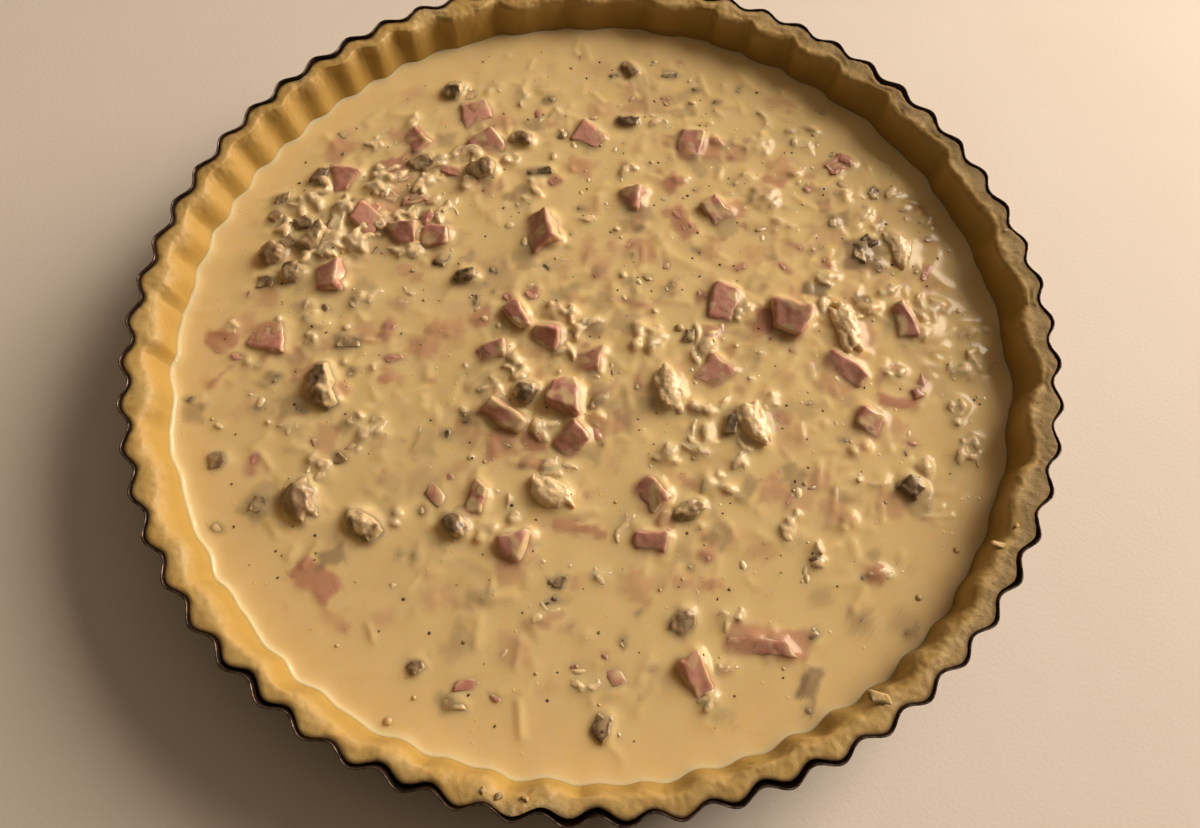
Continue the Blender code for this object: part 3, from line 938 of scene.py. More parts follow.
def joined(name, copies):
    """One mesh object from many (points, faces)."""
    points, faces, start = [], [], 0
    for copy_points, copy_faces in copies:
        points.append(copy_points)
        faces += [tuple(index + start for index in face) for face in copy_faces]
        start += len(copy_points)
    mesh = bpy.data.meshes.new(name)
    mesh.from_pydata(np.concatenate(points).tolist(), [], faces)
    mesh.update()
    return new_object(name, mesh)


def finish_joined(name, copies, material, slot):
    """A joined mesh with smooth shading and its material."""
    piece = joined(name, copies)
    smooth_shade(piece)
    finish_piece(piece, material, slot)
    return piece


def turned_points(points, turn, tilt):
    """Tilts points about Y, then turns them about Z, in degrees."""
    matrix = Matrix.Rotation(math.radians(turn), 3, "Z") @ Matrix.Rotation(math.radians(tilt), 3, "Y")
    return points @ np.array(matrix).T


SHRED_MODEL = unit_model(8, 9, squareness=0.2)
BIT_MODEL = unit_model(10, 8, squareness=0.62)
FLECK_MODEL = unit_model(8, 6, squareness=0.6)
BLOB_MODEL = unit_model(8, 6)
SPECK_MODEL = unit_model(6, 4)
BUBBLE_MODEL = unit_model(12, 8)

SHREDS_ON_LUMP = 12
SHRED_SINK = 1.1  # mm that a shred's middle lies under a lump's or a clot's dome
LOOSE_SHREDS = 220
LOOSE_BLOBS = 120
HAM_FLECKS = 150
MUSHROOM_FLECKS = 90
BUSY_REACH = 122  # mm from the middle, for whatever is scattered

# Where the filling is fullest: x, y, reach in mm, weight
BUSY_PLACES = (
    (-75, 50, 34, 1.0), (-30, 75, 32, 0.8), (0, 5, 42, 1.0), (45, 0, 38, 1.0), (80, 40, 34, 1.0),
    (105, 5, 26, 0.9), (-85, -15, 30, 0.7), (-40, -40, 36, 0.7), (30, -50, 36, 0.6), (30, 85, 40, 0.5),
    (80, -40, 34, 0.5), (0, -95, 40, 0.3), (0, 0, 140, 0.18),
)


def disc_place(chance, reach):
    """A random place, evenly over a disc of this reach."""
    away, bearing = reach * math.sqrt(chance.random()), chance.uniform(0, 2 * math.pi)
    return away * math.cos(bearing), away * math.sin(bearing)


def busy_place(chance):
    """A random place, in mm, more often where the filling is full."""
    while True:
        x, y = disc_place(chance, BUSY_REACH)
        fullness = max(w * math.exp(-((x - a) ** 2 + (y - b) ** 2) / r ** 2) for a, b, r, w in BUSY_PLACES)
        if chance.random() < fullness:
            return x, y


def shred(x, y, height, length, thickness, turn, tilt, bend, chance, unevenness=0.22):
    """A bent, uneven strand, its middle at this place and height."""
    points, faces = SHRED_MODEL
    along = points[:, 2:3]
    start, waves = chance.uniform(0, 6.3), chance.uniform(2.0, 4.5)
    uneven = 1 + unevenness * np.sin(waves * along + start)
    sides = points[:, :2] * uneven * thickness / 2
    bar = np.column_stack([along * length / 2, sides[:, 1], sides[:, 0]])
    bar[:, 1] += bend * (along[:, 0] ** 2 + 0.25 * np.sin(3 * along[:, 0] + start)) * length
    bar[:, 2] -= 0.4 * abs(bend) * along[:, 0] ** 2 * length
    return turned_points(bar, turn, tilt) + (x, y, height), faces


def bit(x, y, top, length, width, thickness, turn, chance, wildness=0.24, model=BIT_MODEL, tip=10):
    """An uneven little block whose top is at this height."""
    points, faces = model
    shaped = points * (length / 2, width / 2, thickness / 2)
    shaped = shaped * np.array([chance.uniform(1 - wildness, 1 + wildness) for _ in points])[:, None]
    shaped[:, 0] += chance.uniform(-0.5, 0.5) * shaped[:, 1]
    shaped = turned_points(shaped, turn, chance.uniform(-tip, tip))
    shaped[:, 2] += top - shaped[:, 2].max()
    return shaped + (x, y, 0), faces


# Smaller pieces of ham: x, y, length, width, turn, rise above the custard, in mm and degrees
HAM_BITS = (
    (20.5, 79.5, 11, 5.5, -15, 0.7), (28.5, 45.5, 10, 4.5, -60, 1.2), (21.5, 64, 7.5, 2, -60, 0.7),
    (24, 96, 4, 4, 10, 0.8), (0.5, 23.5, 3.5, 2.5, 20, 1.0), (34, 16, 6, 4, 75, 1.4),
    (10, 33, 10, 2.4, 65, 0.8), (10, 14, 13, 2.2, -15, 0.9), (14.5, -12, 9, 3, 85, 1.2),
    (6, -17, 6, 2.2, 60, 1.0), (-10, -58, 16, 1.8, -8, 0.6), (62, 28, 6, 2.6, -50, 1.0),
    (82, 70, 8, 6, 35, 1.6), (85, 72, 5, 4, -20, 1.8), (65, 37, 7, 2.4, -30, 1.1), (52, 5, 6.5, 5, 80, 0.6),
    (-65, 1, 9, 4.5, 70, 1.0), (-99.5, -44, 8, 3.4, 80, 0.9), (-77, -79, 10, 4.2, -38, 0.5),
    (-69.5, -89.5, 10.5, 4, -28, 0.5), (34.5, -67, 8, 5, 50, 1.1), (58, -25, 7, 4, -30, 1.0),
    (94, -19, 10, 3, -8, 0.7), (-61, 51, 8, 4.5, 15, 1.8), (-14.5, 60, 5, 3.5, 30, 1.4),
    (-56, 44, 5, 4, 40, 2.2), (-70, 52, 6, 4, -30, 2.0), (4.5, -113, 4, 3, 30, 0.9),
    (72, 60, 5, 3.5, 30, 1.2), (47, 28, 5, 3, 20, 0.9), (-20, 16, 5, 4, 30, 1.6), (-27, 14, 5, 3, -40, 1.2),
    (102, -12, 5, 4, 60, 1.4), (100, -16, 4, 3.4, 20, 1.6), (108, 28, 6, 2.4, 70, 1.2),
    (-46, 96, 5, 3, 30, 1.0), (-3, 30, 4, 3, 60, 0.9), (-116, -6, 5, 3.4, -20, 0.8),
    (-110, -9, 4, 2.6, 20, 1.2), (76, 30, 5, 2.6, -60, 1.2), (-74, 45, 8, 3.4, 70, 2.4),
    (-66, 60, 7, 4, 20, 1.8), (-87, 30, 6, 3.4, 80, 1.8), (-50, 63, 7, 3.6, -20, 1.6),
    (-96, 20, 6, 4, 60, 1.0), (46, 72, 6, 2.5, 20, 0.7), (58, -52, 7, 2, 60, 0.8),
    (-6, -90, 7, 1.6, 25, 0.5), (-62, -8, 5, 3, 20, 1.1),
)
# Smaller pieces of mushroom, in the same columns
MUSHROOM_BITS = (
    (5, 107, 4, 2.5, 20, 1.0), (-12.5, 80, 4, 3, 70, 1.2), (-23, 84, 5, 4, 20, 0.6),
    (-18, 95, 5, 4, 60, 0.8), (34.5, 101, 4, 3, 0, 0.9), (42, 96, 4, 3, 30, 0.9),
    (25, 108, 6, 3.4, -10, 1.0), (-94, 59, 6.5, 4.5, 75, 2.6), (-105, 50, 5, 4, 20, 1.8),
    (-106, 43, 5, 4, 60, 1.8), (-82, 49, 4.5, 3, 80, 1.2), (-106, 18, 5.5, 4.5, 10, 1.8),
    (-60, 65.5, 8, 6, 20, 2.6), (-33, 24, 4, 3.4, 0, 0.9), (-36, 19, 2.2, 2.2, 0, 0.8),
    (-33, 16.5, 2.2, 2, 0, 0.8), (-38, 13, 4.5, 2, 80, 0.9), (-99, -16.5, 6.5, 5, 50, 1.0),
    (-74, -13, 4, 3, 10, 0.9), (-122, -24, 3.6, 2.4, 20, 0.8), (-88, -26, 4, 3.6, 0, 0.8),
    (-101, -26, 4, 3, 30, 0.6), (-75, -41.5, 5, 4.6, 20, 1.3), (-96, -56.5, 5.5, 4.5, 80, 1.6),
    (-106, -63.5, 5, 2.6, -10, 0.7), (-73, -71, 6, 3.6, 20, 0.6), (-49, -71, 3, 3, 0, 0.8),
    (-48, -57, 3, 2.6, 0, 1.0), (-46, -101, 5, 3.6, 30, 1.6), (-36, -110, 7, 4.5, 0, 1.2),
    (4.5, -115.5, 7, 5, 70, 1.8), (-37, -28, 6.5, 4.4, -15, 1.2), (2, -20, 7, 5, 80, 1.8),
    (30, 2, 5, 3.6, 80, 2.0), (42, -28, 7, 3.6, 75, 3.0), (89, 38, 7, 5, 30, 2.6), (87, 33, 6, 4, -40, 2.2),
    (92, 30, 5, 2.6, -60, 1.6), (79, 46, 4.6, 3, 70, 1.8), (94, 59, 5, 4, 60, 1.2),
    (98, -53, 4.6, 2.8, 70, 0.8), (62.5, -90, 3.6, 3, 50, 0.8), (90, -88, 5.5, 4.4, 60, 0.9),
    (60.5, -103, 8, 3.6, 75, 0.8), (60, -110, 3, 2.6, 0, 0.7), (10, -93, 3.6, 2.8, 70, 0.8),
    (14, -85.5, 3, 2, 20, 0.7), (18, -100, 5, 2, 10, 0.6), (-8, -77, 4.6, 3.6, 60, 1.2),
    (-8, -82, 7, 3.4, 0, 0.8), (29, -72, 2.2, 2, 0, 0.8), (65, -69, 4, 3, 20, 1.6),
    (-110, -43, 5.5, 5, 30, 1.6), (-20, -42, 3, 2.8, 0, 1.0), (-25, -36, 3, 2.6, 0, 1.0),
    (-50, 28, 5.5, 4.6, 70, 1.8), (-20, 64, 8, 3.4, 5, 2.0), (-76, -3, 8, 4, 5, 1.6),
    (-96, 40, 6, 5, 20, 2.8), (-101, 33, 6, 5, 50, 2.6), (-88, 38, 7, 4, 60, 2.6), (24, 20, 4, 3, 40, 1.0),
    (33, 34, 4, 2.6, -20, 0.9), (76, -86, 5, 5, 20, 0.6), (-5, 49, 5, 2.4, -10, 0.8),
    (14, 42, 4, 2.4, 30, 1.0), (-44, -33, 4, 3, 0, 1.0),
)
# Clots of cheese shreds under custard: x, y, length, width, turn, how high they pile up
SHRED_CLOTS = (
    (-28, 97, 8, 3, 75, 1.2), (-54, 67, 7, 4, 60, 2.0), (-86, 33, 12, 5, 75, 3.0), (-91, 6, 9, 5, 70, 1.2),
    (-87, 0, 7, 5, 30, 1.2), (-98, 48, 6, 4, 60, 1.8), (-66, -33, 12, 8, 20, 1.0), (-71, -28, 6, 4, 0, 0.8),
    (56, 78, 10, 8, 60, 1.2), (58, 87, 8, 3, 80, 0.9), (69, 77, 8, 5, 60, 1.1), (70, 86, 6, 4, 20, 1.0),
    (56, 56, 9, 8, 20, 1.4), (33.5, -1, 11, 5.5, 70, 2.2), (16, 0, 11, 9, 70, 2.0),
    (35, -22, 10, 5, -10, 1.8), (32, -33, 11, 9, 60, 1.8), (38, -47, 9, 6, 10, 1.5),
    (106, 14, 10, 8, 50, 2.0), (118, -5, 13, 9, 50, 1.6), (112, -22, 8, 5, 20, 1.4),
    (114, -35, 9, 7, 60, 1.5), (120, 7, 6, 5, 60, 1.2), (125, 6, 5, 4, 80, 1.0), (100, 60, 5, 4, 60, 1.2),
    (46, 11, 12, 4, 80, 1.5), (58, -59, 8, 4, 60, 1.2), (66, -68, 6, 6, 0, 1.4), (75, -58, 5, 4, 0, 1.0),
    (84, -72, 5, 4, 20, 0.9), (41, 80, 5, 5, 0, 1.0), (-9, 9, 9, 6, -30, 2.4), (40, 51, 9, 6, 30, 1.6),
    (34, -108, 8, 4, 20, 0.8), (-62, 30, 9, 6, 20, 1.8), (-52, 48, 10, 7, 60, 2.0),
    (-72, 62, 9, 6, 30, 2.0), (-45, 71, 9, 6, 20, 2.2), (-30, 68, 8, 5, 40, 1.6), (-20, 56, 8, 6, 30, 1.3),
    (-5, 45, 7, 4, 20, 1.0), (-70, 40, 8, 5, -30, 2.4), (-92, 28, 8, 6, 60, 2.4), (-102, 38, 7, 5, 50, 1.6),
    (-74, 12, 9, 6, 10, 1.2), (-58, 14, 7, 5, 0, 0.9), (-24, -10, 9, 6, -30, 2.0),
    (-16, -30, 8, 6, 50, 2.4), (0, -27, 8, 5, 70, 1.6), (-32, -18, 7, 5, 20, 1.4), (-10, -43, 8, 5, 0, 1.6),
    (-22, -56, 7, 5, 70, 1.4), (24, -38, 8, 6, 20, 1.6), (45, -38, 8, 5, 60, 1.4), (54, -18, 7, 5, 40, 1.6),
    (70, 14, 8, 5, 40, 2.0), (86, 12, 9, 6, 70, 2.2), (76, 24, 8, 6, 0, 1.4), (90, 48, 9, 6, 70, 1.6),
    (84, 58, 7, 5, 20, 1.2), (66, 66, 7, 5, 30, 1.0), (94, 20, 6, 5, 60, 1.5), (104, 4, 7, 5, 60, 1.3),
    (92, -8, 7, 5, 0, 0.9), (80, -34, 6, 5, 20, 1.0), (100, -40, 6, 5, 60, 1.2), (110, 46, 6, 4, 70, 1.0),
    (62, 44, 7, 5, 0, 1.0), (50, 64, 8, 5, 40, 1.1), (28, 60, 7, 5, 30, 1.0), (10, 66, 6, 4, 20, 0.8),
    (22, 88, 6, 4, 10, 0.8), (-14, 90, 6, 4, 20, 0.7), (-38, 100, 6, 4, 30, 0.9), (-90, -30, 8, 5, 20, 0.8),
    (-80, -44, 8, 6, 60, 1.4), (-56, -60, 8, 5, -20, 1.4), (-30, -62, 7, 5, 30, 1.2),
    (10, -60, 7, 4, 0, 0.8), (22, -58, 7, 5, 20, 1.2), (4, -74, 6, 4, 0, 0.7), (40, -86, 7, 4, 20, 0.8),
    (38, -100, 7, 4, 60, 0.9), (-14, -86, 8, 4, 10, 0.8), (0, -104, 6, 4, 0, 0.7),
    (-84, 44, 14, 5, 75, 3.0), (-78, 36, 12, 5, 80, 3.2), (-92, 52, 10, 5, 60, 2.4),
    (-72, 58, 12, 6, 30, 2.4), (-64, 44, 10, 6, 70, 2.2), (-58, 56, 10, 5, 20, 2.2),
    (-42, 62, 9, 5, 50, 2.0), (-4, 4, 9, 5, 60, 2.2), (-8, -4, 8, 5, -20, 2.0), (86, -46, 7, 5, 20, 1.0),
    (-112, 0, 7, 5, 50, 1.2), (-104, -10, 7, 5, 60, 1.0), (-78, 72, 7, 5, 40, 1.0),
    (-66, 84, 6, 4, 30, 0.9),
)


def make_cheese():
    """Each coated lump is a core with shreds lying over it."""
    for node in nodes_of("cheese"):
        chance = random.Random(node)
        core = copy_of_node(node, "lump_of_" + node)
        rebuild(core, CORE_VOXEL, smoothing=45)
        points = points_of(core)
        centre = points.mean(0)
        flat = points[:, :2] - centre[:2]
        along = np.linalg.svd(flat, full_matrices=False)[2][0]
        aside = along[::-1] * (1, -1)
        heading = math.degrees(math.atan2(along[1], along[0]))
        half_length, half_width = np.abs(flat @ along).max(), np.abs(flat @ aside).max()
        top = points[:, 2].max()
        copies = [(points, faces_of(core))]
        for _ in range(SHREDS_ON_LUMP):
            u, v = chance.uniform(-0.75, 0.75), chance.uniform(-0.85, 0.85)
            dome = math.sqrt(max(0.0, 1 - 0.8 * u * u - 0.8 * v * v))
            x, y = centre[:2] + along * u * half_length + aside * v * half_width
            height = LEVEL + (top - LEVEL) * dome - SHRED_SINK * MM
            length, thickness = chance.uniform(5, 10) * MM, chance.uniform(1.7, 2.7) * MM
            turn = heading + chance.gauss(0, 18)
            tilt, bend = chance.uniform(-8, 8), chance.uniform(-0.15, 0.15)
            copies.append(shred(x, y, height, length, thickness, turn, tilt, bend, chance))
        lump = joined("coated_" + node, copies)
        bpy.data.objects.remove(core, do_unlink=True)
        rebuild(lump, LUMP_VOXEL, *LUMP_RELIEFS, smoothing=6)
        finish_piece(lump, cheese_material, "cheese", node)
        floating["lump"].append(lump)


def clot_shreds(chance):
    """Shreds that lie across each other over each clot's low dome."""
    for x, y, length, width, turn, pile in SHRED_CLOTS:
        c, s = cos_sin(turn)
        for _ in range(max(3, round(length * width / 9))):
            u, v = chance.uniform(-0.45, 0.45) * length, chance.uniform(-0.5, 0.5) * width
            dome = 1 - 1.6 * ((u / length) ** 2 + (v / width) ** 2)
            place = (x + u * c - v * s) * MM, (y + u * s + v * c) * MM
            height = LEVEL + (pile * dome - SHRED_SINK) * MM
            long, thick = chance.uniform(4, 9) * MM, chance.uniform(1.8, 3.3) * MM
            heading = turn + chance.gauss(0, 40)
            tilt, bend = chance.uniform(-8, 8), chance.uniform(-0.25, 0.25)
            yield shred(*place, height, long, thick, heading, tilt, bend, chance)


def loose_shreds(chance):
    for _ in range(LOOSE_SHREDS):
        x, y = busy_place(chance)
        thickness = chance.uniform(1.5, 3.0)
        height = LEVEL + (chance.uniform(-0.15, 0.45) - thickness / 2) * MM
        length, turn = chance.uniform(3, 8) * MM, chance.gauss(60, 45)
        tilt, bend = chance.uniform(-6, 6), chance.uniform(-0.3, 0.3)
        points, faces = shred(x * MM, y * MM, height, length, thickness * MM, turn, tilt, bend, chance)
        yield points, [face[::-1] for face in faces]  # outwards, because laying it along X mirrored it
    for _ in range(LOOSE_BLOBS):
        x, y = busy_place(chance)
        across = chance.uniform(1.0, 2.8) * MM
        points, faces = BLOB_MODEL
        oval = points * (across / 2 * chance.uniform(1.0, 1.6), across / 2, across * 0.4)
        blob = turned_points(oval, chance.uniform(0, 180), 0)
        yield blob + (x * MM, y * MM, LEVEL + across * chance.uniform(-0.3, 0.1)), faces


def make_shreds():
    """Shreds in clots, blended into each other, and single ones over all the custard."""
    chance = random.Random(SEEDS["shreds"])
    clots = joined("cheese_clots", clot_shreds(chance))
    rebuild(clots, CLOT_VOXEL, *CLOT_RELIEFS, smoothing=3)
    finish_piece(clots, cheese_material, "cheese")
    loose = finish_joined("cheese_shreds", loose_shreds(chance), cheese_material, "cheese")
    floating["shred"] += [clots, loose]


FLECK_LOOK = {"wildness": 0.15, "model": FLECK_MODEL, "tip": 18}


def make_bits():
    """Smaller ham and mushroom: those with a place of their own, and flecks all over."""
    chance = random.Random(SEEDS["bits"])
    for kind, material, rows, relief_depth, flecks, (shortest, longest) in (
        ("ham", ham_material, HAM_BITS, 0.3 * MM, HAM_FLECKS, (2, 7)),
        ("mushroom", mushroom_material, MUSHROOM_BITS, 0.6 * MM, MUSHROOM_FLECKS, (1.2, 4)),
    ):
        copies = []
        for x, y, length, width, turn, rise in rows:
            sides = (length * MM, width * MM, max(2.5, width * 0.8) * MM)
            copies.append(bit(x * MM, y * MM, LEVEL + rise * MM, *sides, turn, chance))
        bits = joined(f"small_{kind}_bits", copies)
        lean(bits, slope=0.0, towards=0, sink=0.35 * MM)
        rebuild(bits, BIT_VOXEL, (flesh_relief, relief_depth), smoothing=1)
        finish_piece(bits, material, kind)
        copies = []
        for _ in range(flecks):
            x, y = busy_place(chance)
            length = chance.uniform(shortest, longest)
            top = LEVEL + chance.uniform(-0.3, 0.6) * MM
            sides = (length * MM, length * chance.uniform(0.3, 0.7) * MM, 1.6 * MM)
            turn = chance.uniform(0, 180)
            copies.append(bit(x * MM, y * MM, top, *sides, turn, chance, **FLECK_LOOK))
        scattered = finish_joined(f"scattered_{kind}_flecks", copies, material, kind)
        floating[kind] += [bits, scattered]


# ---------------------------------------------------------------------------
# Custard

# Pieces just under the surface: x, y, length, width, turn, how strongly they show, edge softness in mm
SUNK_HAM = (
    (-69, 65, 8, 6, 20, 0.7, 0.8), (-89, 71, 10, 8, 60, 0.45, 2.0), (-6, 67, 10, 7, -20, 0.4, 1.5),
    (25.5, 60.5, 8, 6, 40, 0.6, 1.0), (36, 76, 14, 9, -10, 0.5, 1.5), (60, 62.5, 8, 4, -20, 0.5, 1.0),
    (64, 97, 9, 5, 10, 0.35, 1.5), (-116, -3, 10, 6, -10, 0.55, 1.0), (-110, 2, 8, 8, 20, 0.35, 2.0),
    (-36, 6.5, 7, 6, 30, 0.5, 1.0), (-27, -35.5, 9, 9, 15, 0.5, 1.2), (-17, -35, 7, 6, 0, 0.6, 0.8),
    (54, 8, 9, 7, 80, 0.7, 1.0), (94, -19, 13, 4, -10, 0.6, 1.0), (-63, -15, 5, 4, 0, 0.5, 1.0),
    (-76, -78, 14, 8, -35, 0.6, 1.2), (71, -54, 8, 8, 20, 0.35, 1.5), (67, -45, 8, 6, 0, 0.35, 1.5),
    (81, -73, 5, 5, 0, 0.5, 1.0), (-10, -87, 9, 3, 20, 0.35, 1.0), (37, 4, 6, 5, 0, 0.5, 1.0),
    (46, 50, 8, 7, 10, 0.45, 1.2), (16, 33, 7, 10, 10, 0.4, 1.5), (-47, 2, 12, 8, 20, 0.4, 1.8),
    (-53, -4, 10, 7, -20, 0.45, 1.5), (28, 45, 13, 7, -60, 0.5, 1.0), (50, -92, 22, 8, -6, 0.5, 1.2),
    (2, 25, 6, 8, 0, 0.35, 1.5), (-104, 13, 6, 8, 0, 0.35, 1.5), (-114, -16, 10, 2, 60, 0.5, 0.8),
    (-3, -61, 16, 3, -10, 0.5, 0.8), (-22, -74, 8, 7, 20, 0.4, 1.5), (86, 30, 8, 5, -20, 0.35, 1.2),
    (108, 22, 7, 4, 60, 0.35, 1.2), (-42, -82, 8, 6, 10, 0.25, 2.0), (-56, -88, 7, 5, 20, 0.25, 2.0),
    (14, -78, 8, 7, -30, 0.3, 1.5), (74, -14, 10, 6, -40, 0.35, 1.5), (-66, 96, 9, 6, 30, 0.25, 2.0),
    (0, 92, 8, 6, 0, 0.25, 1.5),
)
SUNK_MUSHROOM = (
    (71, 20, 8, 5, -10, 0.75, 0.7), (86, 17, 6, 5, 0, 0.7, 0.8), (-76, -3, 10, 5, 5, 0.5, 1.5),
    (-33, 22, 12, 12, 0, 0.22, 3.0), (-120, -28, 7, 6, 0, 0.4, 1.5), (-90, -25, 8, 7, 0, 0.35, 1.5),
    (-73, -71, 8, 5, 20, 0.5, 1.2), (-30, -82, 8, 5, 0, 0.35, 1.5), (60.5, -103, 9, 4.5, 75, 0.6, 0.8),
    (88, -86, 7, 6, 60, 0.3, 2.2), (-96, -56, 10, 8, 60, 0.4, 1.5), (96, -50, 9, 8, 60, 0.4, 1.5),
    (88, 34, 13, 11, 0, 0.55, 1.5), (80, 48, 8, 6, 0, 0.5, 1.5), (76, -86, 7, 7, 0, 0.3, 1.5),
    (-23, 84, 7, 5, 20, 0.45, 1.2), (2, -20, 9, 7, 80, 0.4, 1.2), (-105, 45, 9, 12, 0, 0.35, 1.8),
    (-92, 22, 14, 10, 30, 0.3, 2.0), (36, -112, 6, 4, 0, 0.25, 1.5), (10, 44, 6, 4, 30, 0.4, 1.0),
    (66, -79, 6, 5, 0, 0.25, 1.5), (-50, -48, 9, 7, 30, 0.2, 2.0), (16, -22, 6, 5, 0, 0.3, 1.5),
)

SCATTERED_SUNK_HAM = 230
SCATTERED_SUNK_MUSHROOM = 150
FADE_REACH = (118, 102)  # mm from the middle, between which scattered sunk pieces fade out towards the wall
CLEAREST = 0.85  # how strongly a sunk piece can show
RIDGES = 950
# How far and how high the skin climbs round bare pieces, coated lumps and shreds
CLIMBS = {
    "bare": {"radius": 1.1 * MM, "limit": 2.2 * MM},
    "lump": {"radius": 1.5 * MM, "limit": 1.7 * MM},
    "shred": {"radius": 1.2 * MM, "limit": 1.0 * MM},
}
LEAST_CLIMB = 0.35  # mm up the dough
CLIMBS_MORE = ((205, 72, 0.75),)  # bearing, half width in degrees, how many mm more

raster_line = np.arange(-RASTER_HALF, RASTER_HALF + RASTER_CELL / 2, RASTER_CELL)
raster_x, raster_y = np.meshgrid(raster_line, raster_line)
raster_points = np.column_stack([raster_x.ravel(), raster_y.ravel(), np.zeros(raster_x.size)])


def raster_hills(size, seed):
    return hills(raster_points, size, seed).reshape(raster_x.shape)


def blur(field, radius):
    """Gaussian blur of a raster."""
    reach = int(math.ceil(3 * radius / RASTER_CELL))
    steps = np.arange(-reach, reach + 1)
    weights = np.exp(-0.5 * (steps * RASTER_CELL / radius) ** 2)
    weights /= weights.sum()
    for _ in range(2):  # along the columns, and then along the rows
        padded = np.pad(field, [(reach, reach), (0, 0)], mode="edge")
        field = sum(weight * padded[i:i + len(field)] for i, weight in enumerate(weights)).T
    return field


def at(field, x, y):
    """The raster's value at these places, between its points."""
    u = np.clip((x + RASTER_HALF) / RASTER_CELL, 0, len(raster_line) - 1.001)
    v = np.clip((y + RASTER_HALF) / RASTER_CELL, 0, len(raster_line) - 1.001)
    i, j = u.astype(int), v.astype(int)
    f, g = u - i, v - j
    low = field[j, i] * (1 - f) + field[j, i + 1] * f
    high = field[j + 1, i] * (1 - f) + field[j + 1, i + 1] * f
    return low * (1 - g) + high * g


def height_map(pieces):
    """How far these pieces stand above the custard's level, seen from straight above."""
    heights = np.full(raster_x.shape, -4 * MM)
    for piece in pieces:
        points = points_of(piece)
        ends = read_all(piece.data.edges, "vertices", int, 2)
        samples = np.concatenate([points, points[ends].mean(1), read_all(piece.data.polygons, "center")])
        i, j = (np.round((samples[:, axis] + RASTER_HALF) / RASTER_CELL).astype(int) for axis in (0, 1))
        np.maximum.at(heights, (j, i), samples[:, 2] - LEVEL)
    return heights


def moved(field, towards, distance):
    """The raster, moved this far towards a bearing in degrees."""
    c, s = cos_sin(towards)
    steps = distance / RASTER_CELL
    return np.roll(field, (round(steps * s), round(steps * c)), (0, 1))


def climbing(heights, radius, share, limit):
    """The custard's skin round pieces of these heights: it climbs their sides, up to a limit."""
    return limit * (1 - np.exp(-share * blur(np.maximum(heights, 0), radius) / limit))


def patch_of(x, y, reach, turn):
    """The part of a raster round a place in mm, and how far along and across the turned place it lies."""
    def cells(middle):
        low, high = (round((middle + edge + RASTER_HALF / MM) * MM / RASTER_CELL) for edge in (-reach, reach))
        return slice(max(0, low), high)

    window = cells(y), cells(x)
    dx, dy = raster_x[window] / MM - x, raster_y[window] / MM - y
    c, s = math.cos(turn), math.sin(turn)
    return window, dx * c + dy * s, dy * c - dx * s


def ridge_map():
    """Low soft ridges and knobs, where shreds lie just under the skin."""
    chance = random.Random(SEEDS["ridges"])
    field = np.zeros(raster_x.shape)
    for _ in range(RIDGES):
        x, y = busy_place(chance)
        length, width = chance.uniform(0, 9), chance.uniform(0.8, 2.1)
        turn = math.radians(chance.gauss(60, 50))
        height = chance.uniform(0.1, 0.5) * MM
        window, along, across = patch_of(x, y, length / 2 + 2.5 * width, turn)
        across = across + chance.uniform(-0.12, 0.12) * along ** 2 / max(length, 1)
        away = np.hypot(np.maximum(np.abs(along) - length / 2, 0), across) / width
        field[window] = np.maximum(field[window], height * np.exp(-1.6 * away ** 2))
    return field


def scattered_rows(chance, count):
    """Sunk pieces in busy places, which fade towards the wall."""
    for _ in range(count):
        x, y = busy_place(chance)
        length = chance.uniform(2.5, 10)
        inside = smoothstep(*FADE_REACH, math.hypot(x, y))
        width, turn = length * chance.uniform(0.35, 0.9), chance.uniform(0, 180)
        yield x, y, length, width, turn, inside * chance.uniform(0.12, 0.42), chance.uniform(0.5, 1.8)


def sunk_map(kind, rows, scattered, wobble):
    """How strongly pieces under the surface show, from 0 to 1."""
    shown = np.zeros(raster_x.shape)
    chance = random.Random(SEEDS["sunk " + kind])
    for x, y, length, width, turn, strength, softness in (*rows, *scattered_rows(chance, scattered)):
        reach = length / 2 + width / 2 + softness + 1.5
        window, along, across = patch_of(x, y, reach, math.radians(turn))
        outside = np.maximum(np.abs(along) - length / 2, np.abs(across) - width / 2) + wobble[window]
        clear = min(CLEAREST, 1.35 * strength) * smoothstep(0.8 * softness, -0.8 * softness, outside)
        shown[window] = np.maximum(shown[window], clear)
    return shown


